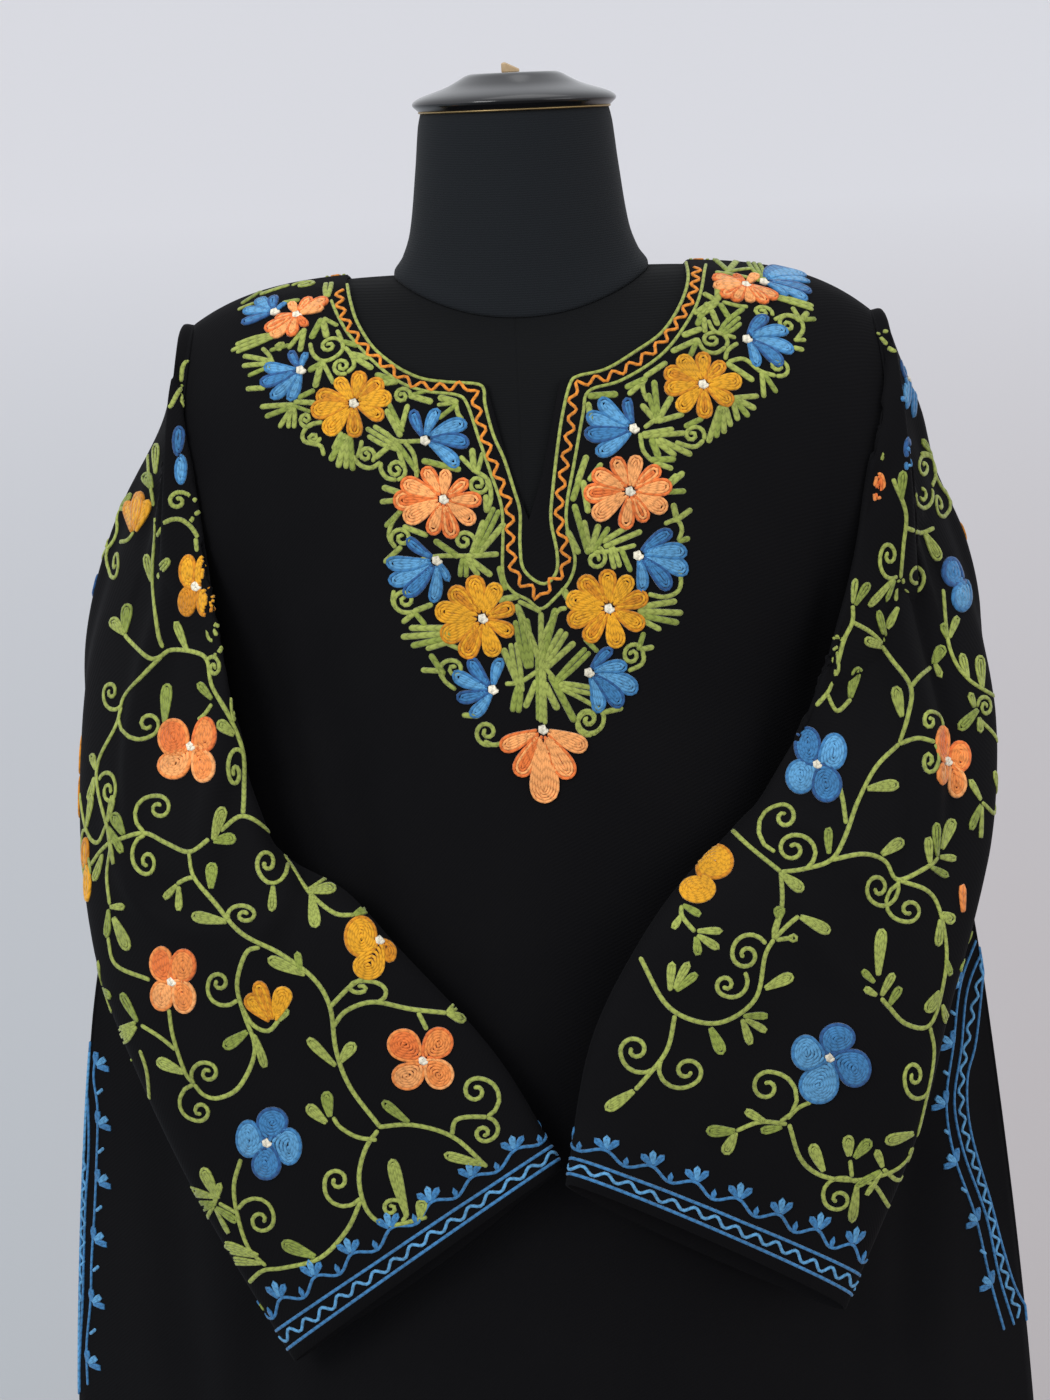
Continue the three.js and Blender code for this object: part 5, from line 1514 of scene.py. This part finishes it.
def jerseyMaterial(name, colour, sheen, seam=None):
    material, tree, shader = newMaterial(name, colour, 0.8, Sheen_Weight=sheen, Sheen_Roughness=0.5,
                                         Specular_IOR_Level=0.1)
    place = objectPlace(tree)
    ribs = addNode(tree, "ShaderNodeTexWave", {"Vector": place, "Scale": 260.0, "Distortion": 1.2,
                                               "Detail": 2.0, "Detail Scale": 1.5}, bands_direction="Z")
    grain = addNoise(tree, place, 1400.0, 2.0)
    mixed = addNode(tree, "ShaderNodeMix", {"A": ribs.outputs["Fac"], "B": grain, "Factor": 0.35})
    height = mixed.outputs["Result"]
    if seam is not None:
        split = addNode(tree, "ShaderNodeSeparateXYZ", {"Vector": place})
        far = addMath(tree, "ABSOLUTE", addMath(tree, "SUBTRACT", split.outputs["X"], seam * mm))
        height = addMath(tree, "ADD", height, addRange(tree, far, 0.0, 0.0012, (-6.0, 0.0)))
    addBump(tree, shader, height, 0.3, 0.0005)
    return material


def glossMaterial():
    # painted shade: the lower front shines less, a painted dark reflection; there height less a share of the
    # way forward falls below the rim
    material, tree, shader = newMaterial("glossCap", (0.006, 0.006, 0.007), 0.14, Specular_IOR_Level=0.6)
    place = objectPlace(tree)
    split = addNode(tree, "ShaderNodeSeparateXYZ", {"Vector": place})
    level = addMath(tree, "MULTIPLY_ADD", split.outputs["Y"], 0.22, split.outputs["Z"])
    base = (form["neckTop"] - 2.5) * mm
    # specular level lowered on the lower front as painted shade
    paintedShadeShine = addRange(tree, level, base - 0.0008, base + 0.0008, (0.12, 0.75))
    tree.links.new(paintedShadeShine, shader.inputs["Specular IOR Level"])
    rough = addRange(tree, addNoise(tree, place, 60.0, 3.0), 0.0, 1.0, (0.1, 0.24))
    tree.links.new(rough, shader.inputs["Roughness"])
    return material


def woodMaterial():
    material, tree, shader = newMaterial("bareWood", (0.55, 0.4, 0.24), 0.65)
    grain = addNoise(tree, objectPlace(tree), 400.0, 5.0)
    tint = addRamp(tree, grain, (0.36, 0.22, 0.1), (0.66, 0.5, 0.3))
    tree.links.new(tint.outputs["Color"], shader.inputs["Base Color"])
    addBump(tree, shader, grain, 0.3, 0.0004)
    return material


def metalMaterial(name, colour, roughness, metallic, scale):
    material, tree, shader = newMaterial(name, colour, roughness, Metallic=metallic)
    stretched = addNode(tree, "ShaderNodeMapping", {"Vector": objectPlace(tree), "Scale": scale})
    brush = addNoise(tree, stretched.outputs["Vector"], 1.0, 4.0)
    rough = addRange(tree, brush, 0.0, 1.0, (roughness * 0.8, roughness * 1.25))
    tree.links.new(rough, shader.inputs["Roughness"])
    addBump(tree, shader, brush, 0.1, 0.0003)
    return material


# the torso's cover is a darker copy of the neck's: painted shade for the torso inside the neck opening
shadedTorsoJersey = jerseyMaterial("formJerseyPaintedShade", (0.0042, 0.0046, 0.0052), 0.02, seam=-4.0)
neckJersey = jerseyMaterial("neckJersey", (0.011, 0.013, 0.0155), 0.05)
gloss = glossMaterial()
wood = woodMaterial()
steel = metalMaterial("steelTube", (0.42, 0.43, 0.44), 0.32, 1.0, (900, 900, 12))
paint = metalMaterial("blackPaint", (0.02, 0.02, 0.022), 0.42, 0.0, (500, 500, 500))
brass = metalMaterial("capBand", (0.42, 0.3, 0.14), 0.4, 1.0, (300, 300, 900))

capBase = form["neckTop"] + seamGap
capRadius = form["capRadius"]
torso = formTorso(shadedTorsoJersey)
neck = formNeck(neckJersey)
cap = turned("form_cap_gloss", rounded([
    (0.01, capBase), (capRadius - 4.5, capBase), (capRadius - 3, capBase + 1.6), (capRadius, capBase + 4.2),
    (capRadius - 1.2, capBase + 6.6), (capRadius - 6, capBase + 9), (capRadius - 18, capBase + 12.6),
    (30, capBase + 16), (24.5, form["capTop"] - 0.4), (20, form["capTop"]),
    (0.01, form["capTop"])]), gloss, lean=form["lean"])
capBand = turned("form_cap_band", rounded([
    (capRadius - 6, capBase - 0.25), (capRadius - 4.2, capBase - 0.3), (capRadius - 3.2, capBase + 0.3),
    (capRadius - 3.6, capBase + 1.0), (capRadius - 6, capBase + 1.0)]), brass, lean=form["lean"])
pole = turned("stand_pole_tube", [
    (0.01, form["footThickness"] + seamGap), (form["poleRadius"] + 9, form["footThickness"] + seamGap),
    (form["poleRadius"] + 8, form["footThickness"] + 6), (form["poleRadius"], form["footThickness"] + 14),
    (form["poleRadius"], 420), (form["poleRadius"], form["poleTop"]), (0.01, form["poleTop"])], steel)
foot = turned("stand_foot_plate", rounded([
    (0.01, 0), (form["footRadius"] - 3, 0), (form["footRadius"], 3), (form["footRadius"], 9),
    (form["footRadius"] - 3, 12), (60, 12), (0.01, 12)]), paint, around=160)


def makePeg():
    # the sawn post end: a slanted outline from side to side, as deep as the peg, its edges eased by a bevel
    outline = np.array([(-6, 0), (3.5, 0), (3.5, 1.2), (-4.2, 5), (-6, 4.4)], float)
    deep = 4.0
    front = np.stack([outline[:, 0], np.full(5, -deep), outline[:, 1] + form["capTop"] + seamGap], -1)
    back = front + np.array([0, 2 * deep, 0])
    faces = [(0, 1, 2, 3, 4), (9, 8, 7, 6, 5)] + [(i, i + 5, (i + 1) % 5 + 5, (i + 1) % 5) for i in range(5)]
    mesh = bpy.data.meshes.new("cap_peg_wood")
    mesh.from_pydata((np.concatenate([front, back]) * mm).tolist(), [], faces)
    mesh.update()
    mesh.materials.append(wood)
    piece = bpy.data.objects.new("cap_peg_wood", mesh)
    scene.collection.objects.link(piece)
    bevel = piece.modifiers.new("eased", "BEVEL")
    bevel.width, bevel.segments = 0.5 * mm, 2
    return piece


peg = makePeg()
print("form made")

# Floor and light.
corners = np.array([(-60e3, -60e3, -0.5), (60e3, -60e3, -0.5), (60e3, 60e3, -0.5), (-60e3, 60e3, -0.5)])
floor = writeMesh("floor", corners, np.array([(0, 1, 2, 3)]))
# the near tints are darker than the far one as painted shade on the floor near the form
floorTints = {
    "nearLeft": (0.4, 0.43, 0.45), "nearRight": (0.42, 0.37, 0.36), "far": (0.8, 0.79, 0.81),
    "farFrom": 14.0,
}


def floorMaterial():
    # bluish to the left, pinkish to the right, both paling to one tint far behind; the darker near part is
    # painted shade
    material, tree, shader = newMaterial("paleFloor", (0.78, 0.79, 0.82), 0.9, Specular_IOR_Level=0.1)
    split = addNode(tree, "ShaderNodeSeparateXYZ", {"Vector": objectPlace(tree)})
    side = addRange(tree, split.outputs["X"], -0.7, 0.7)
    tint = addRamp(tree, side, floorTints["nearLeft"], floorTints["nearRight"])
    back = addRange(tree, split.outputs["Y"], 1.2, floorTints["farFrom"])
    fade = addMath(tree, "POWER", back, 0.55)
    mixed = addNode(tree, "ShaderNodeMix", {"Factor": fade}, data_type="RGBA")
    tree.links.new(tint.outputs["Color"], mixed.inputs[6])
    mixed.inputs[7].default_value = (*floorTints["far"], 1)
    tree.links.new(mixed.outputs[2], shader.inputs["Base Color"])
    return material


floor.data.materials.append(floorMaterial())

lights = [
    {"name": "key", "place": (-1.9, -2.6, 2.9), "aim": (0, 0, 1.15), "size": 1.4, "power": 46},
    {"name": "fill", "place": (2.6, -2.0, 1.9), "aim": (0, 0, 1.05), "size": 2.0, "power": 12},
    {"name": "top", "place": (0.3, 0.4, 3.6), "aim": (0, 0, 1.2), "size": 1.6, "power": 6},
]


def addLight(name, place, aim, size, power):
    data = bpy.data.lights.new(name, "AREA")
    data.size, data.energy = size, power
    lamp = bpy.data.objects.new(name, data)
    scene.collection.objects.link(lamp)
    away = np.array(place, float) - np.array(aim, float)
    back = away / np.linalg.norm(away)
    right = unit(np.cross([0, 0, 1], back))
    matrix = np.eye(4)
    matrix[:3, 0], matrix[:3, 1], matrix[:3, 2], matrix[:3, 3] = right, np.cross(back, right), back, place
    lamp.matrix_world = Matrix(matrix.tolist())


for light in lights:
    addLight(**light)
world = bpy.data.worlds.new("studio")
world.use_nodes = True
world.node_tree.nodes["Background"].inputs["Color"].default_value = (0.86, 0.88, 0.92, 1)
world.node_tree.nodes["Background"].inputs["Strength"].default_value = 1.0
scene.world = world
scene.view_settings.view_transform = "Standard"

# What each piece is and stands for.
places = [
    (frontCloth, "front_panel", "black_cloth"), (backCloth, "back_panel", "black_cloth"),
    (sleeveLeft, "sleeve_left", "black_cloth"), (sleeveRight, "sleeve_right", "black_cloth"),
    (torso, "form_torso", "form_jersey"), (neck, "form_neck", "form_jersey"), (cap, "form_cap", "gloss_cap"),
    (peg, "cap_knob", "bare_wood"), (pole, "stand_pole", "steel_tube"), (foot, "stand_base", "painted_steel"),
]
for piece, node, slot in places:
    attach(piece, "root")
    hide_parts(node)
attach(capBand, "root")

print("scene done")
